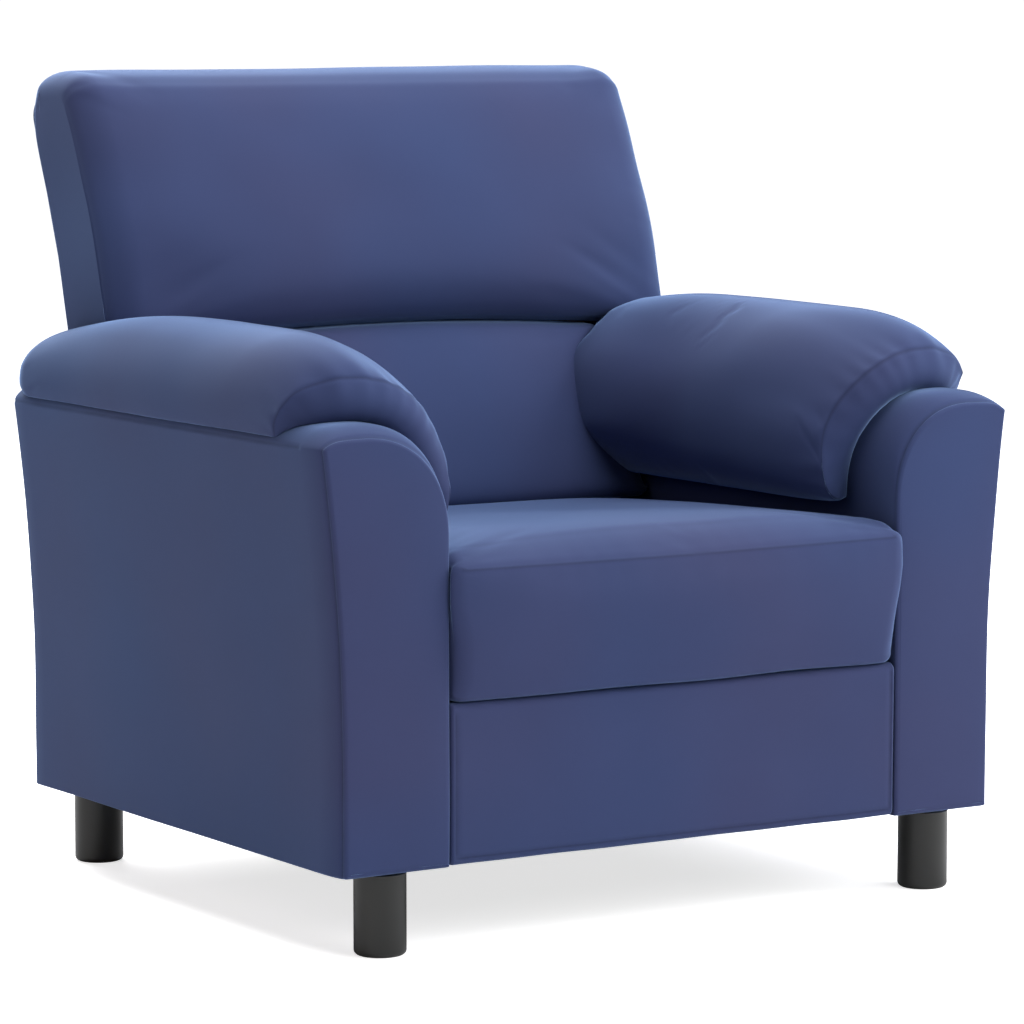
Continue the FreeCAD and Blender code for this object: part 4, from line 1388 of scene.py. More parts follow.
    def rings(self, middle: Section, panel: Section, panel_y: Array) -> list[Array]:
        """The pad's rings from its rear end, which is rounded above the saddle, to its panel.

        Args:
            middle: The section half way along.
            panel: The end panel's outline.
            panel_y: The Y of each point of that outline.

        Returns:
            The rings, rear first.
        """
        rear_y = self.rear_end(middle.points)
        passes = 6
        inward = middle.inward(passes)
        beside = self.beside.soft(middle.points[:, 0])
        reach = self.inner_end + (self.outer_end - self.inner_end) * beside
        upper = np.zeros(len(middle.points))
        upper[self.across :] = 1.0
        upper = averaged(upper, passes)
        rings: list[Array] = []
        for turn in np.linspace(0, QUARTER, self.rings_behind)[:-1]:
            place = rear_y - reach * self.rear_reach * (1 - np.cos(turn))
            draw = self.rear_draw * reach * (1 - np.sin(turn))
            points = self.shaped(place, middle, panel, panel_y)
            points += inward * (draw * upper)[:, None] + self.tucked(middle, upper, draw)
            rings.append(lifted(points, place, Axis.ALONG_Y))
        start = rear_y - reach * self.rear_reach
        for step in 1 - (1 - np.linspace(0, 1, self.rings_along)) ** self.ring_power:
            place = start + (panel_y - start) * step
            points = self.shaped(place, middle, panel, panel_y)
            rings.append(lifted(points, place, Axis.ALONG_Y))
        return rings

    def swollen(self, name: str) -> tuple[bpy.types.Object, Array]:
        """Builds the left pad and swells it, held along its saddle and its panel's seam.

        Args:
            name: The pad's name.

        Returns:
            The pad, and the line that its front panel is sewn on along.
        """
        middle = self.middle()
        panel, panel_y = self.panel()
        rings = self.rings(middle, panel, panel_y)
        piece = carried(name, rings, middle, tuple((0, rise, 0) for rise in self.rises))
        line = rings[-1][self.across :]
        saddle = np.vstack([ring[: self.across + 1] for ring in rings[::4]])
        points = points_of(piece)
        on_saddle = distances(points, saddle)[0] < self.held_saddle
        held = on_saddle | (distances(points, line)[0] < self.held_seam)
        swell(piece, held, self.cap, limit=lambda moved: np.clip(moved, *self.space))
        return piece, line

    def build(self) -> list[bpy.types.Object]:
        """Builds both pads; the right one is the left one turned over, with its own unevenness.

        Returns:
            The left and the right pad.
        """
        left, line = self.swollen("arm_left_pad")
        mesh = left.data.copy()
        right = bpy.data.objects.new("arm_right_pad", mesh)
        bpy.context.scene.collection.objects.link(right)
        place_points(right, points_of(right) * MIRROR)
        mesh.flip_normals()
        for piece, side, seed in ((left, Side.LEFT, 3), (right, Side.RIGHT, 4)):
            settled(piece, 0.0005, 0.16, seed)
            seam = Seam(depth=0.0008, width=0.0014, pucker=0.0008, pitch=0.024, reach=0.016)
            seam.press(piece, line * [side.value, 1.0, 1.0])
            parts = ("pad_cover", "pad_foam")
            upholstered(piece, 0.85, [f"arm_{side.word}_{part}" for part in parts])
        return [left, right]


# ---------------------------------------------------------------------------------------------
# Cushions of the seat and the back
# ---------------------------------------------------------------------------------------------


@dataclass(frozen=True)
class Cushion:
    """A cushion whose section along X, in (Y, Z), is closed by rounded sides.

    Its four runs go round it from its foot: foot, rear, top and front. rounds says how far the
    sides are rounded at each run, and side_reach how long that rounding is for its depth.
    """

    name: str
    half: float
    runs: Runs
    rounds: tuple[float, float, float, float]
    nodes: tuple[str, ...]
    crown: float = 0.0
    across: int = 60
    along: int = 60
    columns: int = 70
    fill: float = 0.9
    side_crown: float = 0.004
    side_reach: float = 1.0
    uneven: float = 0.0008
    uneven_length: float = 0.16
    seed: int = 1
    cap: float = 0.0
    mass: float = 0.12
    creases: float = 0.25

    def section(self) -> Section:
        """The cushion's section half way across."""
        return Section.of(self.runs, self.across, self.along, smooth=2)

    def radii(self) -> Array:
        """Finds how far the sides are rounded.

        Returns:
            The rounding at each point of the section.
        """
        counts = (self.across, self.along, self.across, self.along)
        spread = np.concatenate([np.full(count, r) for count, r in zip(counts, self.rounds)])
        return averaged(spread, 60)

    def shaped(self, ring: Array) -> Array:
        """Moves the points of a ring from the plain section to the cushion's own form."""
        return ring

    def rings(self) -> list[Array]:
        """The cushion's rings from one side to the other, each side's rounding among them.

        At a turn from 0 to a quarter circle a side's ring lies inward of the section by
        r (1 - sin(turn)), and side_reach r (1 - cos(turn)) from the side.

        Returns:
            The rings, from the sitter's right to the left.
        """
        section, radii = self.section(), self.radii()
        inward = section.inward(8)
        right: list[Array] = []
        for turn in np.linspace(0, QUARTER, 12)[:-1]:
            draw = radii * (1 - np.sin(turn))
            place = -self.half + radii * self.side_reach * (1 - np.cos(turn))
            right.append(lifted(section.points + inward * draw[:, None], place, Axis.ALONG_X))
        start = lifted(section.points, -self.half + radii * self.side_reach, Axis.ALONG_X)
        flip = start * MIRROR
        inner = [start + (flip - start) * step for step in np.linspace(0, 1, self.columns)]
        left = [ring * MIRROR for ring in right[::-1]]
        return [self.shaped(ring) for ring in right + inner + left]

    def held(self, points: Array) -> Array:
        """Which points stay where they are while the cover swells."""
        return np.ones(len(points), bool)

    def space(self, points: Array) -> Array:
        """Brings points back into the space that the cushion has between its neighbours."""
        return np.clip(points, (-self.half, -1.0, 0.0), (self.half, 1.0, 2.0))

    def sew(self, piece: bpy.types.Object) -> None:
        """Adds the cushion's own lines of sewing."""

    def build(self) -> bpy.types.Object:
        """Builds the cushion, swells it, lets it settle, sews it and dresses it.

        Returns:
            The cushion.
        """
        rings = self.rings()
        side = self.side_crown
        piece = carried(self.name, rings, self.section(), ((-side, 0, 0), (side, 0, 0)))
        if self.cap > 0:
            held = self.held(points_of(piece))
            swell(piece, held, self.cap, self.space, mass=self.mass, creases=self.creases)
        settled(piece, self.uneven, self.uneven_length, self.seed)
        self.sew(piece)
        return upholstered(piece, self.fill, self.nodes)


@dataclass(frozen=True)
class SeatCushion(Cushion):
    """The seat cushion: a sloping crowned top, sewn along the front, and a bulging front."""

    name: str = "seat_cushion"
    half: float = 0.2582
    runs: Runs = (
        ((-0.3505, 0.2360), (0.1360, 0.2360)),
        ((0.1360, 0.2360), (0.1360, 0.3545)),
        (
            (0.1360, 0.3545), (0.0600, 0.3595), (-0.1000, 0.3695), (-0.2600, 0.3775),
            (-0.3200, 0.3795),
        ),
        (
            (-0.3200, 0.3795), (-0.3370, 0.3778), (-0.3520, 0.3720), (-0.3630, 0.3635),
            (-0.3655, 0.3450), (-0.3655, 0.3150), (-0.3640, 0.2850), (-0.3605, 0.2600),
            (-0.3545, 0.2415), (-0.3505, 0.2360),
        ),
    )
    rounds: tuple[float, float, float, float] = (0.006, 0.006, 0.013, 0.012)
    nodes: tuple[str, ...] = ("seat_cover", "seat_foam")
    crown: float = 0.006
    across: int = 92
    along: int = 84
    side_reach: float = 1.4
    cap: float = 0.006
    nose_z: float = 0.3635
    nose_y: float = -0.3635
    crown_power: float = 2.4
    crown_front: Ramp = Ramp(-0.362, 0.05)
    crown_rear: Ramp = Ramp(0.16, -0.12)
    crown_height: Ramp = Ramp(0.33, 0.03)
    front: Ramp = Ramp(-0.33, -0.03)
    low: Ramp = Ramp(0.333, -0.09)
    nose_length: Ramp = Ramp(-0.350, -0.009)
    nose_height: Ramp = Ramp(0.27, 0.05)
    nose_spread: float = 0.018
    foot_draw: float = 0.024
    corner_draw: float = 0.004
    held_side: float = 0.004
    held_foot: float = 0.244
    held_rear: float = 0.120
    arm_front: float = -0.351
    arm_gap: float = 0.005
    front_limit: float = -0.3700
    sewn_half: float = 0.247
    sewn_corner: Knots = (
        (0.2465, -0.3590, 0.3628), (0.2545, -0.352, 0.3628), (0.2575, -0.340, 0.3640),
    )

    def shaped(self, ring: Array) -> Array:
        """Raises the top in the middle, spreads the nose and narrows the front to its foot.

        Args:
            ring: A ring of the plain cushion.

        Returns:
            The ring with the cushion's form.
        """
        moved = ring.copy()
        out = np.clip(np.abs(ring[:, 0]) / self.half, 0, 1)
        ahead, behind = self.crown_front.soft(ring[:, 1]), self.crown_rear.soft(ring[:, 1])
        top = self.crown_height.soft(ring[:, 2])
        moved[:, 2] += self.crown * (1 - out**self.crown_power) * ahead * behind * top
        front, low = self.front.soft(ring[:, 1]), self.low.straight(ring[:, 2])
        nose = self.nose_spread * self.nose_length.soft(ring[:, 1])
        spread = nose * self.nose_height.soft(ring[:, 2])
        moved[:, 0] *= 1 - self.foot_draw * low * front + spread * (1 - low)
        moved[:, 1] += self.corner_draw * front * out**3
        return moved

    def held(self, points: Array) -> Array:
        """The foot, the rear and the sides stay; the top and the front swell."""
        beside = np.abs(points[:, 0]) > self.half - self.held_side
        return beside | (points[:, 2] < self.held_foot) | (points[:, 1] > self.held_rear)

    def space(self, points: Array) -> Array:
        """Keeps the front near its CAD face and the sides between the arms.

        Args:
            points: The swollen cover's points.

        Returns:
            The points within the cushion's space.
        """
        ahead = points[:, 1] < self.arm_front
        beside = np.where(ahead, self.half + self.arm_gap, self.half)
        moved = points.copy()
        moved[:, 0] = np.clip(points[:, 0], -beside, beside)
        moved[:, 1] = np.maximum(points[:, 1], self.front_limit)
        return moved

    def sew(self, piece: bpy.types.Object) -> None:
        """Sews the top to the front along the nose and round its two corners.

        Args:
            piece: The cushion.
        """
        count = 200
        x = np.linspace(-self.sewn_half, self.sewn_half, count)
        level = [np.full(count, self.nose_y), np.full(count, self.nose_z)]
        middle = np.stack([x, *level], axis=1)
        corner = np.array(self.sewn_corner)
        right = flowing(corner * MIRROR, 20)
        line = np.vstack([right[::-1], self.shaped(middle), flowing(corner, 20)])
        Seam(depth=-0.0007, width=0.0014, pucker=0.0003, pitch=0.034).press(piece, line)


@dataclass(frozen=True)
class BackCushion(Cushion):
    """A cushion that leans on the back, whose front fills out in the middle."""

    knee: float = 0.560
    rear_at_knee: float = 0.281
    lean: float = 0.3907
    front: Ramp = Ramp(0.075, 0.04)
    resting: float = 0.075
    held_side: float = 0.003

    def depth(self, points: Array) -> Array:
        """How far each point is in front of the leaning back."""
        return self.rear_at_knee + (points[:, 2] - self.knee) * self.lean - points[:, 1]

    def held(self, points: Array) -> Array:
        """What rests on the back stays, and so do the two sides' middles."""
        beside = np.abs(points[:, 0]) > self.half - self.held_side
        return (self.depth(points) < self.resting) | beside


@dataclass(frozen=True)
class HeadCushion(BackCushion):
    """The head cushion: a full pillow over the top of the back."""

    name: str = "head_cushion"
    half: float = 0.3375
    runs: Runs = (
        ((0.1660, 0.5530), (0.2100, 0.5510), (0.2770, 0.5500)),
        (
            (0.2770, 0.5500), (0.2790, 0.5700), (0.2885, 0.6000), (0.3132, 0.6660),
            (0.3555, 0.7750),
        ),
        (
            (0.3555, 0.7750), (0.3568, 0.7850), (0.3568, 0.7950), (0.3520, 0.8060),
            (0.3390, 0.8128), (0.3100, 0.8150), (0.2800, 0.8125), (0.2600, 0.8010),
        ),
        (
            (0.2600, 0.8010), (0.2450, 0.7740), (0.2190, 0.7250), (0.1950, 0.6750),
            (0.1740, 0.6300), (0.1610, 0.5980), (0.1560, 0.5780), (0.1580, 0.5620),
            (0.1660, 0.5530),
        ),
    )
    rounds: tuple[float, float, float, float] = (0.018, 0.004, 0.027, 0.027)
    nodes: tuple[str, ...] = ("head_cover", "head_foam")
    crown: float = 0.008
    across: int = 40
    along: int = 72
    columns: int = 84
    fill: float = 0.85
    side_crown: float = 0.003
    side_reach: float = 1.2
    front: Ramp = Ramp(0.025, 0.065)
    uneven: float = 0.0009
    uneven_length: float = 0.17
    seed: int = 2
    cap: float = 0.007
    arch: float = 0.018
    arch_height: Ramp = Ramp(0.64, -0.09)
    crown_height: Ramp = Ramp(0.560, 0.25)
    crown_power: float = 2.2
    crown_fullness: float = 0.8
    low_corner: float = 0.008
    low_height: Ramp = Ramp(0.68, -0.09)
    top_corner: float = 0.004
    top_height: Ramp = Ramp(0.70, 0.06)
    space_z: tuple[float, float] = (0.531, 0.8165)

    def shaped(self, ring: Array) -> Array:
        """Arches the lower edge, fills the front in the middle and sets its corners.

        Args:
            ring: A ring of the plain cushion.

        Returns:
            The ring with the cushion's form.
        """
        moved = ring.copy()
        out = np.clip(np.abs(ring[:, 0]) / self.half, 0, 1)
        z = ring[:, 2]
        moved[:, 2] -= self.arch * out**2 * self.arch_height.soft(z)
        front = self.front.soft(self.depth(ring))
        full = np.sin(np.pi * self.crown_height.straight(z)) ** self.crown_fullness
        moved[:, 1] -= self.crown * (1 - out**self.crown_power) * front * full
        moved[:, 1] += self.low_corner * out**4 * front * self.low_height.soft(z)
        moved[:, 1] -= self.top_corner * out**4 * front * self.top_height.soft(z)
        return moved

    def space(self, points: Array) -> Array:
        """Keeps the cushion under its CAD top, and its lower edge off the arms.

        Args:
            points: The swollen cover's points.

        Returns:
            The points within the cushion's space.
        """
        moved = points.copy()
        moved[:, 0] = np.clip(points[:, 0], -self.half, self.half)
        moved[:, 2] = np.clip(points[:, 2], *self.space_z)
        return moved


@dataclass(frozen=True)
class LumbarCushion(BackCushion):
    """The lumbar cushion, between the arms under the head cushion."""

    name: str = "lumbar_cushion"
    half: float = 0.2582
    runs: Runs = (
        ((0.0830, 0.3620), (0.1460, 0.3600)),
        ((0.1460, 0.3600), (0.2160, 0.5500)),
        ((0.2160, 0.5500), (0.1750, 0.5540)),
        (
            (0.1750, 0.5540), (0.1620, 0.5470), (0.1430, 0.5100), (0.1220, 0.4650),
            (0.1010, 0.4180), (0.0855, 0.3830), (0.0800, 0.3690), (0.0830, 0.3620),
        ),
    )
    rounds: tuple[float, float, float, float] = (0.012, 0.006, 0.014, 0.030)
    nodes: tuple[str, ...] = ("lumbar_cover", "lumbar_foam")
    crown: float = 0.004
    across: int = 20
    along: int = 56
    fill: float = 0.85
    uneven: float = 0.0007
    uneven_length: float = 0.15
    seed: int = 5
    cap: float = 0.005
    front: Ramp = Ramp(0.080, 0.03)
    crown_height: Ramp = Ramp(0.375, 0.17)
    arch: float = 0.012
    arch_height: Ramp = Ramp(0.47, 0.07)

    def shaped(self, ring: Array) -> Array:
        """Fills the front in the middle, and follows the head cushion's arch at the top.

        Args:
            ring: A ring of the plain cushion.

        Returns:
            The ring with the cushion's form.
        """
        moved = ring.copy()
        out = np.clip(np.abs(ring[:, 0]) / self.half, 0, 1)
        front = self.front.soft(self.depth(ring))
        full = np.sin(np.pi * self.crown_height.straight(ring[:, 2]))
        moved[:, 1] -= self.crown * (1 - out**2) * front * full
        moved[:, 2] -= self.arch * out**2 * self.arch_height.soft(ring[:, 2])
        return moved


@dataclass(frozen=True)
class Apron(Cushion):
    """The front apron: a thin padded panel with a line of sewing inside its edge."""

    name: str = "front_apron"
    half: float = 0.2580
    runs: Runs = (
        ((-0.3460, 0.0820), (-0.3385, 0.0820)),
        ((-0.3385, 0.0820), (-0.3385, 0.2355)),
        ((-0.3385, 0.2355), (-0.3440, 0.2355)),
        (
            (-0.3440, 0.2355), (-0.3488, 0.2310), (-0.3500, 0.2180), (-0.3500, 0.1000),
            (-0.3490, 0.0870), (-0.3460, 0.0820),
        ),
    )
    rounds: tuple[float, float, float, float] = (0.003, 0.002, 0.003, 0.005)
    nodes: tuple[str, ...] = ("apron_cover",)
    across: int = 6
    along: int = 70
    columns: int = 120
    side_crown: float = 0.0
    uneven: float = 0.0004
    uneven_length: float = 0.14
    seed: int = 8
    front_y: float = -0.350
    inset: float = 0.0065
    sewn_low: float = 0.0890
    sewn_top: float = 0.2355

    def sew(self, piece: bpy.types.Object) -> None:
        """Sews down one side, along the foot and up the other side.

        Args:
            piece: The apron.
        """
        edge, top, low = self.half - self.inset, self.sewn_top, self.sewn_low
        corners = ((-edge, top), (-edge, low), (edge, low), (edge, top))
        line = np.array([(x, self.front_y, z) for x, z in corners])
        Seam(depth=0.0011, width=0.0016).press(piece, line)


# ---------------------------------------------------------------------------------------------
# Rear and underside
# ---------------------------------------------------------------------------------------------


def wafer(
    name: str, across: Array, up: Array, place: Callable[[Array], Array], thick: float
) -> bpy.types.Object:
    """A thin padded slab with rounded edges, closed all round.

    Its two faces lie off the middle surface by half the thickness times the square root of
    (1 - |u|^18) (1 - |v|^26), which rounds the edge.

    Args:
        name: The piece's name.
        across: u from -1 to 1 at each point of the grid.
        up: v from -1 to 1 at each point of the grid.
        place: Gives the grid's points for an offset from the middle surface at each of them.
        thick: The slab's thickness.

    Returns:
        The slab.
    """
    side, end = 18, 26
    full = np.sqrt(np.clip((1 - np.abs(across) ** side) * (1 - np.abs(up) ** end), 0, 1))
    faces = [(place(sign * full * thick / 2), False) for sign in (-1.0, 1.0)]
    return stitched(name, faces)


def slab_grid(columns: int, rows: int) -> tuple[Array, Array]:
    """A grid of (u, v) from -1 to 1, u = sin(pi s / 2) for even s, so that its edges are finer.

    Args:
        columns: The grid's columns.
        rows: The grid's rows.

    Returns:
        u and v at each point of the grid.
    """
    u = np.sin(np.linspace(-QUARTER, QUARTER, columns))
    v = np.sin(np.linspace(-QUARTER, QUARTER, rows))
    across, up = np.meshgrid(u, v)
    return across, up


@dataclass(frozen=True)
class RearPanel:
    """The upholstered rear of the back: a flat panel, vertical below and leaning above."""

    arm: Arm = Arm(Side.LEFT)
    half: float = 0.3342
    lap: float = 0.0008
    step: float = 0.5010
    foot: float = 0.0822
    knee: float = 0.5600
    knee_round: float = 0.03
    knee_drop: float = 0.175
    uneven: float = 0.0006
    uneven_length: float = 0.15
    fill: float = 0.95
    top: float = 0.7970
    curl: float = 0.0060
    curl_foot: float = 0.777
    rear: float = 0.2812
    lean: float = 0.3907
    thick: float = 0.0110
    corner: float = 0.0365

    def depth_at(self, height: Array) -> Array:
        """Finds how far back the rear face is: its knee is round and its top curls in.

        Args:
            height: The heights.

        Returns:
            The face's Y at each height.
        """
        over = height - self.knee
        soft = self.knee_round
        bend = 0.5 * (over + np.sqrt(over**2 + soft**2)) - self.knee_drop * soft
        inward = self.curl * ease((height - self.curl_foot) / (self.top - self.curl_foot))
        return self.rear + self.lean * np.maximum(bend, 0) - inward

    def half_at(self, height: Array) -> Array:
        """Half the upper panel's width at each height: round at its two top corners."""
        above = np.clip(height - (self.top - self.corner), 0, self.corner)
        return self.half - self.corner + np.sqrt(self.corner**2 - above**2)

    def half_below(self, height: Array) -> Array:
        """Half the lower panel's width at each height, which follows the arms' inner sides."""
        return np.minimum(self.arm.roll_at(height) + self.lap, self.half)

    def slab(
        self, name: str, low: float, high: float, width: Callable[[Array], Array]
    ) -> bpy.types.Object:
        """One panel between two heights: a point (u, v) is width(z) u across at its height z.

        Args:
            name: The panel's name.
            low: The height of its foot.
            high: The height of its top.
            width: Half its width at each height.

        Returns:
            The panel.
        """
        across, up = slab_grid(90, 70)
        height = (low + high) / 2 + (high - low) / 2 * up
        x, centre = across * width(height), self.depth_at(height) - self.thick / 2

        def place(offset: Array) -> Array:
            """The grid's points at an offset backwards from the middle surface."""
            return np.stack([x, centre + offset, height], axis=2)

        return wafer(name, across, up, place, self.thick)

    def build(self) -> list[bpy.types.Object]:
        """Builds the upper and the lower panel.

        Returns:
            The two panels.
        """
        upper = self.slab("back_rear_upper", self.step, self.top, self.half_at)
        settled(upper, self.uneven, self.uneven_length, 6)
        upholstered(upper, self.fill, ["back_rear_cover"])
        lower = self.slab("back_rear_lower", self.foot, self.step, self.half_below)
        settled(lower, self.uneven, self.uneven_length, 7)
        upholstered(lower, self.fill, [])
        return [upper, lower]


@dataclass(frozen=True)
class Wing:
    """The boxing beside the lower end of the head cushion, over the rear of an arm."""

    side: Side
    low: float = 0.5025
    high: float = 0.5560
    inner: float = 0.2595
    outer: float = 0.3335
    rear: float = 0.272
    front: float = 0.1533
    lean: float = 0.39
    bevel: float = 0.020
    inner_draw: float = 0.006
    steps: int = 80

    def ring(self, height: float) -> Array:
        """The outline at a height; its front leans back with the height.

        Args:
            height: The height.

        Returns:
            The outline's points.
        """
        front = self.front + self.lean * (height - self.low)
        corners = np.array(
            [
                (self.inner, front + self.inner_draw),
                (self.outer - self.bevel, front),
                (self.outer, front + self.bevel),
                (self.outer, self.rear),
                (self.inner, self.rear),
                (self.inner, front + self.inner_draw),
            ]
        )
        flat = even(corners, self.steps)[:-1] * [self.side.value, 1.0]
        return np.column_stack([flat, np.full(self.steps, height)])

    def build(self) -> bpy.types.Object:
        """Builds and dresses the boxing.

        Returns:
            The boxing.
        """
        rings = [self.ring(height) for height in np.linspace(self.low, self.high, 14)]
        quarter = self.steps // 4
        outline = Section(rings[0][:, :2], quarter, quarter)
        flat = ((0, 0, 0), (0, 0, 0))
        piece = carried(f"back_wing_{self.side.word}_cover", rings, outline, flat)
        return upholstered(piece, 0.9, [])


@dataclass(frozen=True)
class DustCover:
    """The black lining under the frame: a sheet pulled flat and stapled all round its edge.

    It sags by sag (1 - |u|^3) (1 - |v|^3), and between two staples its edge rises and falls.
    """

    thick: float = 0.0007
    sag: float = 0.0035
    ripple: float = 0.0002
    points: int = 110
    staple_pitch: float = 0.052
    staple_inset: float = 0.009
    staple_length: float = 0.010
    staple_wire: float = 0.0006
    staple_drop: float = 1.6

    def sheet(self, low: Array, high: Array) -> bpy.types.Object:
        """The sheet of lining over the box of its CAD solid.

        Args:
            low: The box's low corner.
            high: The box's high corner.

        Returns:
            The sheet.
        """
        steps = np.linspace(-1, 1, self.points)
        u, v = np.meshgrid(steps, steps)
        middle, half = (low + high) / 2, (high - low) / 2
        x, y = middle[0] + half[0] * u, middle[1] + half[1] * v
        edge = np.maximum(np.abs(u), np.abs(v)) ** 10
        pitch = self.staple_pitch
        ripple = np.sin(2 * np.pi * x / pitch) * np.sin(2 * np.pi * y / pitch)
        slack = self.sag * (1 - np.abs(u) ** 3) * (1 - np.abs(v) ** 3)
        z = high[2] - self.thick - slack - self.ripple * edge * (1 + ripple)
        piece = stitched("underside_lining", [(np.stack([x, y, z], axis=2), False)])
        wall = piece.modifiers.new("wall", "SOLIDIFY")
        wall.thickness = self.thick
        wall.offset = 0.0
        return piece

    def staples(self, low: Array, high: Array) -> bpy.types.Object:
        """The staples' crowns: each a half-round bar along the edge that it holds.

        Args:
            low: The low corner of the lining's box.
            high: The high corner of the lining's box.

        Returns:
            All the staples as one piece.
        """
        inset = self.staple_inset
        turn = np.linspace(0, np.pi, 7)
        reach = np.array([0.0, 1.0, 1.0, 0.0])
        along = np.array([-0.5, -0.5, 0.5, 0.5]) * self.staple_length
        bar = np.stack(
            np.broadcast_arrays(
                along[:, None],
                reach[:, None] * np.cos(turn) * self.staple_wire,
                -reach[:, None] * np.sin(turn) * self.staple_wire,
            ),
            axis=2,
        )
        grids = []
        for axis, other in ((0, 1), (1, 0)):
            count = int((high[axis] - low[axis] - 2 * inset) / self.staple_pitch)
            for step in np.linspace(low[axis] + 2 * inset, high[axis] - 2 * inset, count):
                for edge in (low[other] + inset, high[other] - inset):
                    grid = np.zeros_like(bar)
                    grid[..., axis] = bar[..., 0] + step
                    grid[..., other] = bar[..., 1] + edge
                    grid[..., 2] = bar[..., 2] + high[2] - self.staple_drop * self.thick
                    grids.append((grid, False))
        return stitched("underside_staples", grids)

    def build(self, node: bpy.types.Object) -> list[bpy.types.Object]:
        """Builds the lining in place of its CAD solid, and the staples that hold it.

        Args:
            node: The CAD solid.

        Returns:
            The lining and the staples.
        """
        low, high = box_of(node)
        lining, staples = self.sheet(low, high), self.staples(low, high)
        dress(lining, LINING.build())
        dress(staples, STEEL.build())
        for piece, place in ((lining, "lining"), (staples, "steel")):
            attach(piece, "root")
        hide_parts("dust_cover")
        width, length = (float(size) for size in (high - low)[:2])
        LOG.info("lining %.3f by %.3f m", width, length)
        return [lining, staples]


@dataclass(frozen=True)
class SpringFelt:
    """The needled felt between the springs and the seat cushion."""

    points: int = 60
    loft: float = 0.94

    def build(self, node: bpy.types.Object) -> bpy.types.Object:
        """Builds the felt in place of its CAD solid.

        Args:
            node: The CAD solid.

        Returns:
            The felt.
        """
        low, high = box_of(node)
        middle, half = (low + high) / 2, (high - low) / 2
        across, up = slab_grid(self.points, self.points)
        x, y = middle[0] + half[0] * across, middle[1] + half[1] * up

        def place(offset: Array) -> Array:
            """The grid's points at an offset upwards from the middle surface."""
            return np.stack([x, y, middle[2] + offset], axis=2)

        piece = wafer("spring_felt_pad", across, up, place, 2 * half[2] * self.loft)
        settled(piece, 0.0001, 0.05, 9)
        dress(piece, FELT.build())
        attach(piece, "root")
        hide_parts("spring_felt")
        return piece


# ---------------------------------------------------------------------------------------------
# What the CAD already has right
# ---------------------------------------------------------------------------------------------


@dataclass(frozen=True)
class Frame:
    """The timber frame, its fastenings, springs and webbing, and the legs."""

    steel: tuple[str, ...] = (
        "leg_studs",
        "leg_inserts",
        "frame_bolts",
        "frame_t_nuts",
        "seat_springs",
        "spring_clips",
    )

    def finish_of(self, name: str) -> Finish:
        """Picks the finish of a CAD node.

        Args:
            name: The node's name.

        Returns:
            Its finish.
        """
        if name in self.steel:
            return STEEL
        if name.startswith("leg_"):
            return LEG
        if name.endswith("_panel"):
            return HARDBOARD
        if name == "back_webbing":
            return WEBBING
        return PINE

    def dress(self, nodes: dict[str, bpy.types.Object]) -> None:
        """Gives every CAD node its finish.

        Args:
            nodes: The CAD nodes by name.
        """
        for name, node in nodes.items():
            dress(node, self.finish_of(name).build())
        LOG.info("%d nodes dressed", len(nodes))


# ---------------------------------------------------------------------------------------------
# Studio
# ---------------------------------------------------------------------------------------------


@dataclass(frozen=True)
class Lamp:
    """A soft square light that points at the chair."""

    name: str
    place: tuple[float, float, float]
    size: float
    power: float
    colour: Colour = (1.0, 1.0, 1.0)

    def build(self, target: tuple[float, float, float]) -> None:
        """Puts the light in the scene.

        Args:
            target: Where it points.
        """
        data = bpy.data.lights.new(self.name, "AREA")
        data.shape = "SQUARE"
        data.size = self.size
        data.energy = self.power
        data.color = self.colour
        lamp = bpy.data.objects.new(self.name, data)
        bpy.context.scene.collection.objects.link(lamp)
        lamp.location = self.place
        way = np.subtract(target, self.place)
        across = math.atan2(-way[0], way[1])
        down = math.atan2(math.hypot(way[0], way[1]), -way[2])
        lamp.rotation_euler = (down, 0.0, across)


@dataclass(frozen=True)
class Floor:
    """A plain pale floor that looks brighter the further it is from the chair."""

    half: float = 9.0
    shade: float = 0.90
    near: float = 0.7
    far: float = 2.0
    near_glow: float = 0.72
    far_glow: float = 1.1

    def finish(self) -> bpy.types.Material:
        """Makes the floor matt, with a glow that grows by a smooth step from near to far.

        Returns:
            The floor's material.
        """
        material = bpy.data.materials.new("pale_floor")
        material.use_nodes = True
        tree = material.node_tree
        shader = tree.nodes["Principled BSDF"]
        shader.inputs["Base Color"].default_value = (self.shade, self.shade, self.shade, 1.0)
        shader.inputs["Roughness"].default_value = 1.0
        shader.inputs["Emission Strength"].default_value = 1.0
        where = tree.nodes.new("ShaderNodeTexCoord")
        away = tree.nodes.new("ShaderNodeVectorMath")
        away.operation = "LENGTH"
        tree.links.new(where.outputs["Object"], away.inputs[0])
        fade = tree.nodes.new("ShaderNodeMapRange")
        fade.interpolation_type = "SMOOTHSTEP"
        fade.inputs["From Min"].default_value = self.near
        fade.inputs["From Max"].default_value = self.far
        fade.inputs["To Min"].default_value = self.near_glow
        fade.inputs["To Max"].default_value = self.far_glow
        tree.links.new(away.outputs["Value"], fade.inputs["Value"])
        rays = tree.nodes.new("ShaderNodeLightPath")
        seen = rays.outputs["Is Camera Ray"]
        glow = math_node(tree, "MULTIPLY", fade.outputs["Result"], seen)
        tree.links.new(glow, shader.inputs["Emission Color"])
        return material

    def build(self) -> None:
        """Builds the floor."""
        half = self.half
        corners = [(-half, -half, 0), (half, -half, 0), (half, half, 0), (-half, half, 0)]
        mesh = bpy.data.meshes.new("floor")
        mesh.from_pydata(corners, [], [(0, 1, 2, 3)])
        floor = bpy.data.objects.new("floor", mesh)
        bpy.context.scene.collection.objects.link(floor)
        dress(floor, self.finish())


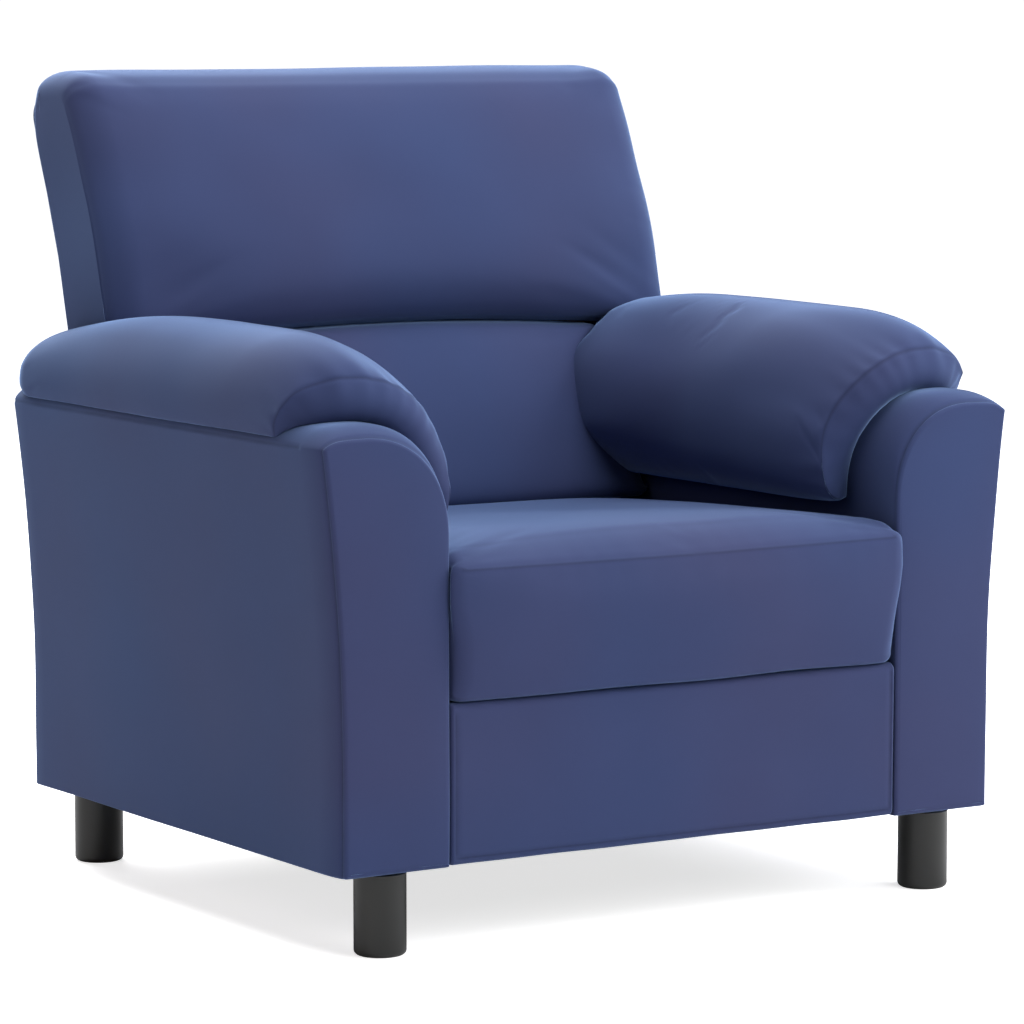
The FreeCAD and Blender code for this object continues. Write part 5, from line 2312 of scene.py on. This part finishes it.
@dataclass(frozen=True)
class Studio:
    """The floor, the lamps, the surrounding light and the camera."""

    air: float = 0.0925
    seen_air: float = 1.05
    middle: tuple[float, float, float] = (0.0, 0.0, 0.42)
    lamps: tuple[Lamp, ...] = (
        Lamp("key", (1.0, -3.4, 2.6), 2.4, 79.0),
        Lamp("top", (0.0, 0.1, 3.4), 3.0, 100.0),
        Lamp("back", (0.3, 3.2, 2.6), 2.6, 170.0),
        Lamp("left", (-3.4, -0.6, 1.8), 2.4, 17.0, (1.0, 0.78, 0.64)),
        Lamp("right", (3.2, -1.2, 2.4), 2.4, 140.0),
    )
    camera_place: tuple[float, float, float] = (-2.5622, -4.1074, 0.9100)
    camera_dip: float = 6.389
    camera_heading: float = -32.247
    lens: float = 167.82
    film: float = 36.0
    sight: float = 60.0

    def surround(self) -> None:
        """Makes an even pale surrounding, brighter to the camera than to the chair."""
        world = bpy.data.worlds.new("studio_air")
        world.use_nodes = True
        tree = world.node_tree
        air = tree.nodes["Background"]
        air.inputs["Color"].default_value = (1.0, 1.0, 1.0, 1.0)
        air.inputs["Strength"].default_value = self.air
        seen = tree.nodes.new("ShaderNodeBackground")
        seen.inputs["Color"].default_value = (1.0, 1.0, 1.0, 1.0)
        seen.inputs["Strength"].default_value = self.seen_air
        rays = tree.nodes.new("ShaderNodeLightPath")
        blend = tree.nodes.new("ShaderNodeMixShader")
        tree.links.new(rays.outputs["Is Camera Ray"], blend.inputs["Fac"])
        tree.links.new(air.outputs["Background"], blend.inputs[1])
        tree.links.new(seen.outputs["Background"], blend.inputs[2])
        tree.links.new(blend.outputs["Shader"], tree.nodes["World Output"].inputs["Surface"])
        bpy.context.scene.world = world

    def camera(self) -> None:
        """Puts the camera in front of the chair, to the sitter's right."""
        data = bpy.data.cameras.new("view")
        data.lens = self.lens
        data.sensor_width = self.film
        data.clip_end = self.sight
        camera = bpy.data.objects.new("view", data)
        bpy.context.scene.collection.objects.link(camera)
        camera.location = self.camera_place
        tilt = math.radians(90.0 - self.camera_dip)
        camera.rotation_euler = (tilt, 0.0, math.radians(self.camera_heading))
        bpy.context.scene.camera = camera

    def build(self) -> None:
        """Builds the studio round the chair."""
        bpy.context.scene.view_settings.view_transform = "Standard"
        Floor().build()
        self.surround()
        for lamp in self.lamps:
            lamp.build(self.middle)
        self.camera()
        LOG.info("studio ready, %d lamps", len(self.lamps))


def main() -> None:
    """Builds the chair round its frame, then the studio."""
    logging.basicConfig(level=logging.INFO, format="%(name)s: %(message)s")
    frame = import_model()
    nodes = frame["nodes"]
    Frame().dress(nodes)
    for side in Side:
        Arm(side).build()
        Wing(side).build()
    Pad().build()
    for cushion in (SeatCushion(), LumbarCushion(), HeadCushion(), Apron()):
        cushion.build()
    RearPanel().build()
    SpringFelt().build(nodes["spring_felt"])
    DustCover().build(nodes["dust_cover"])
    Studio().build()


if __name__ == "__main__":
    main()
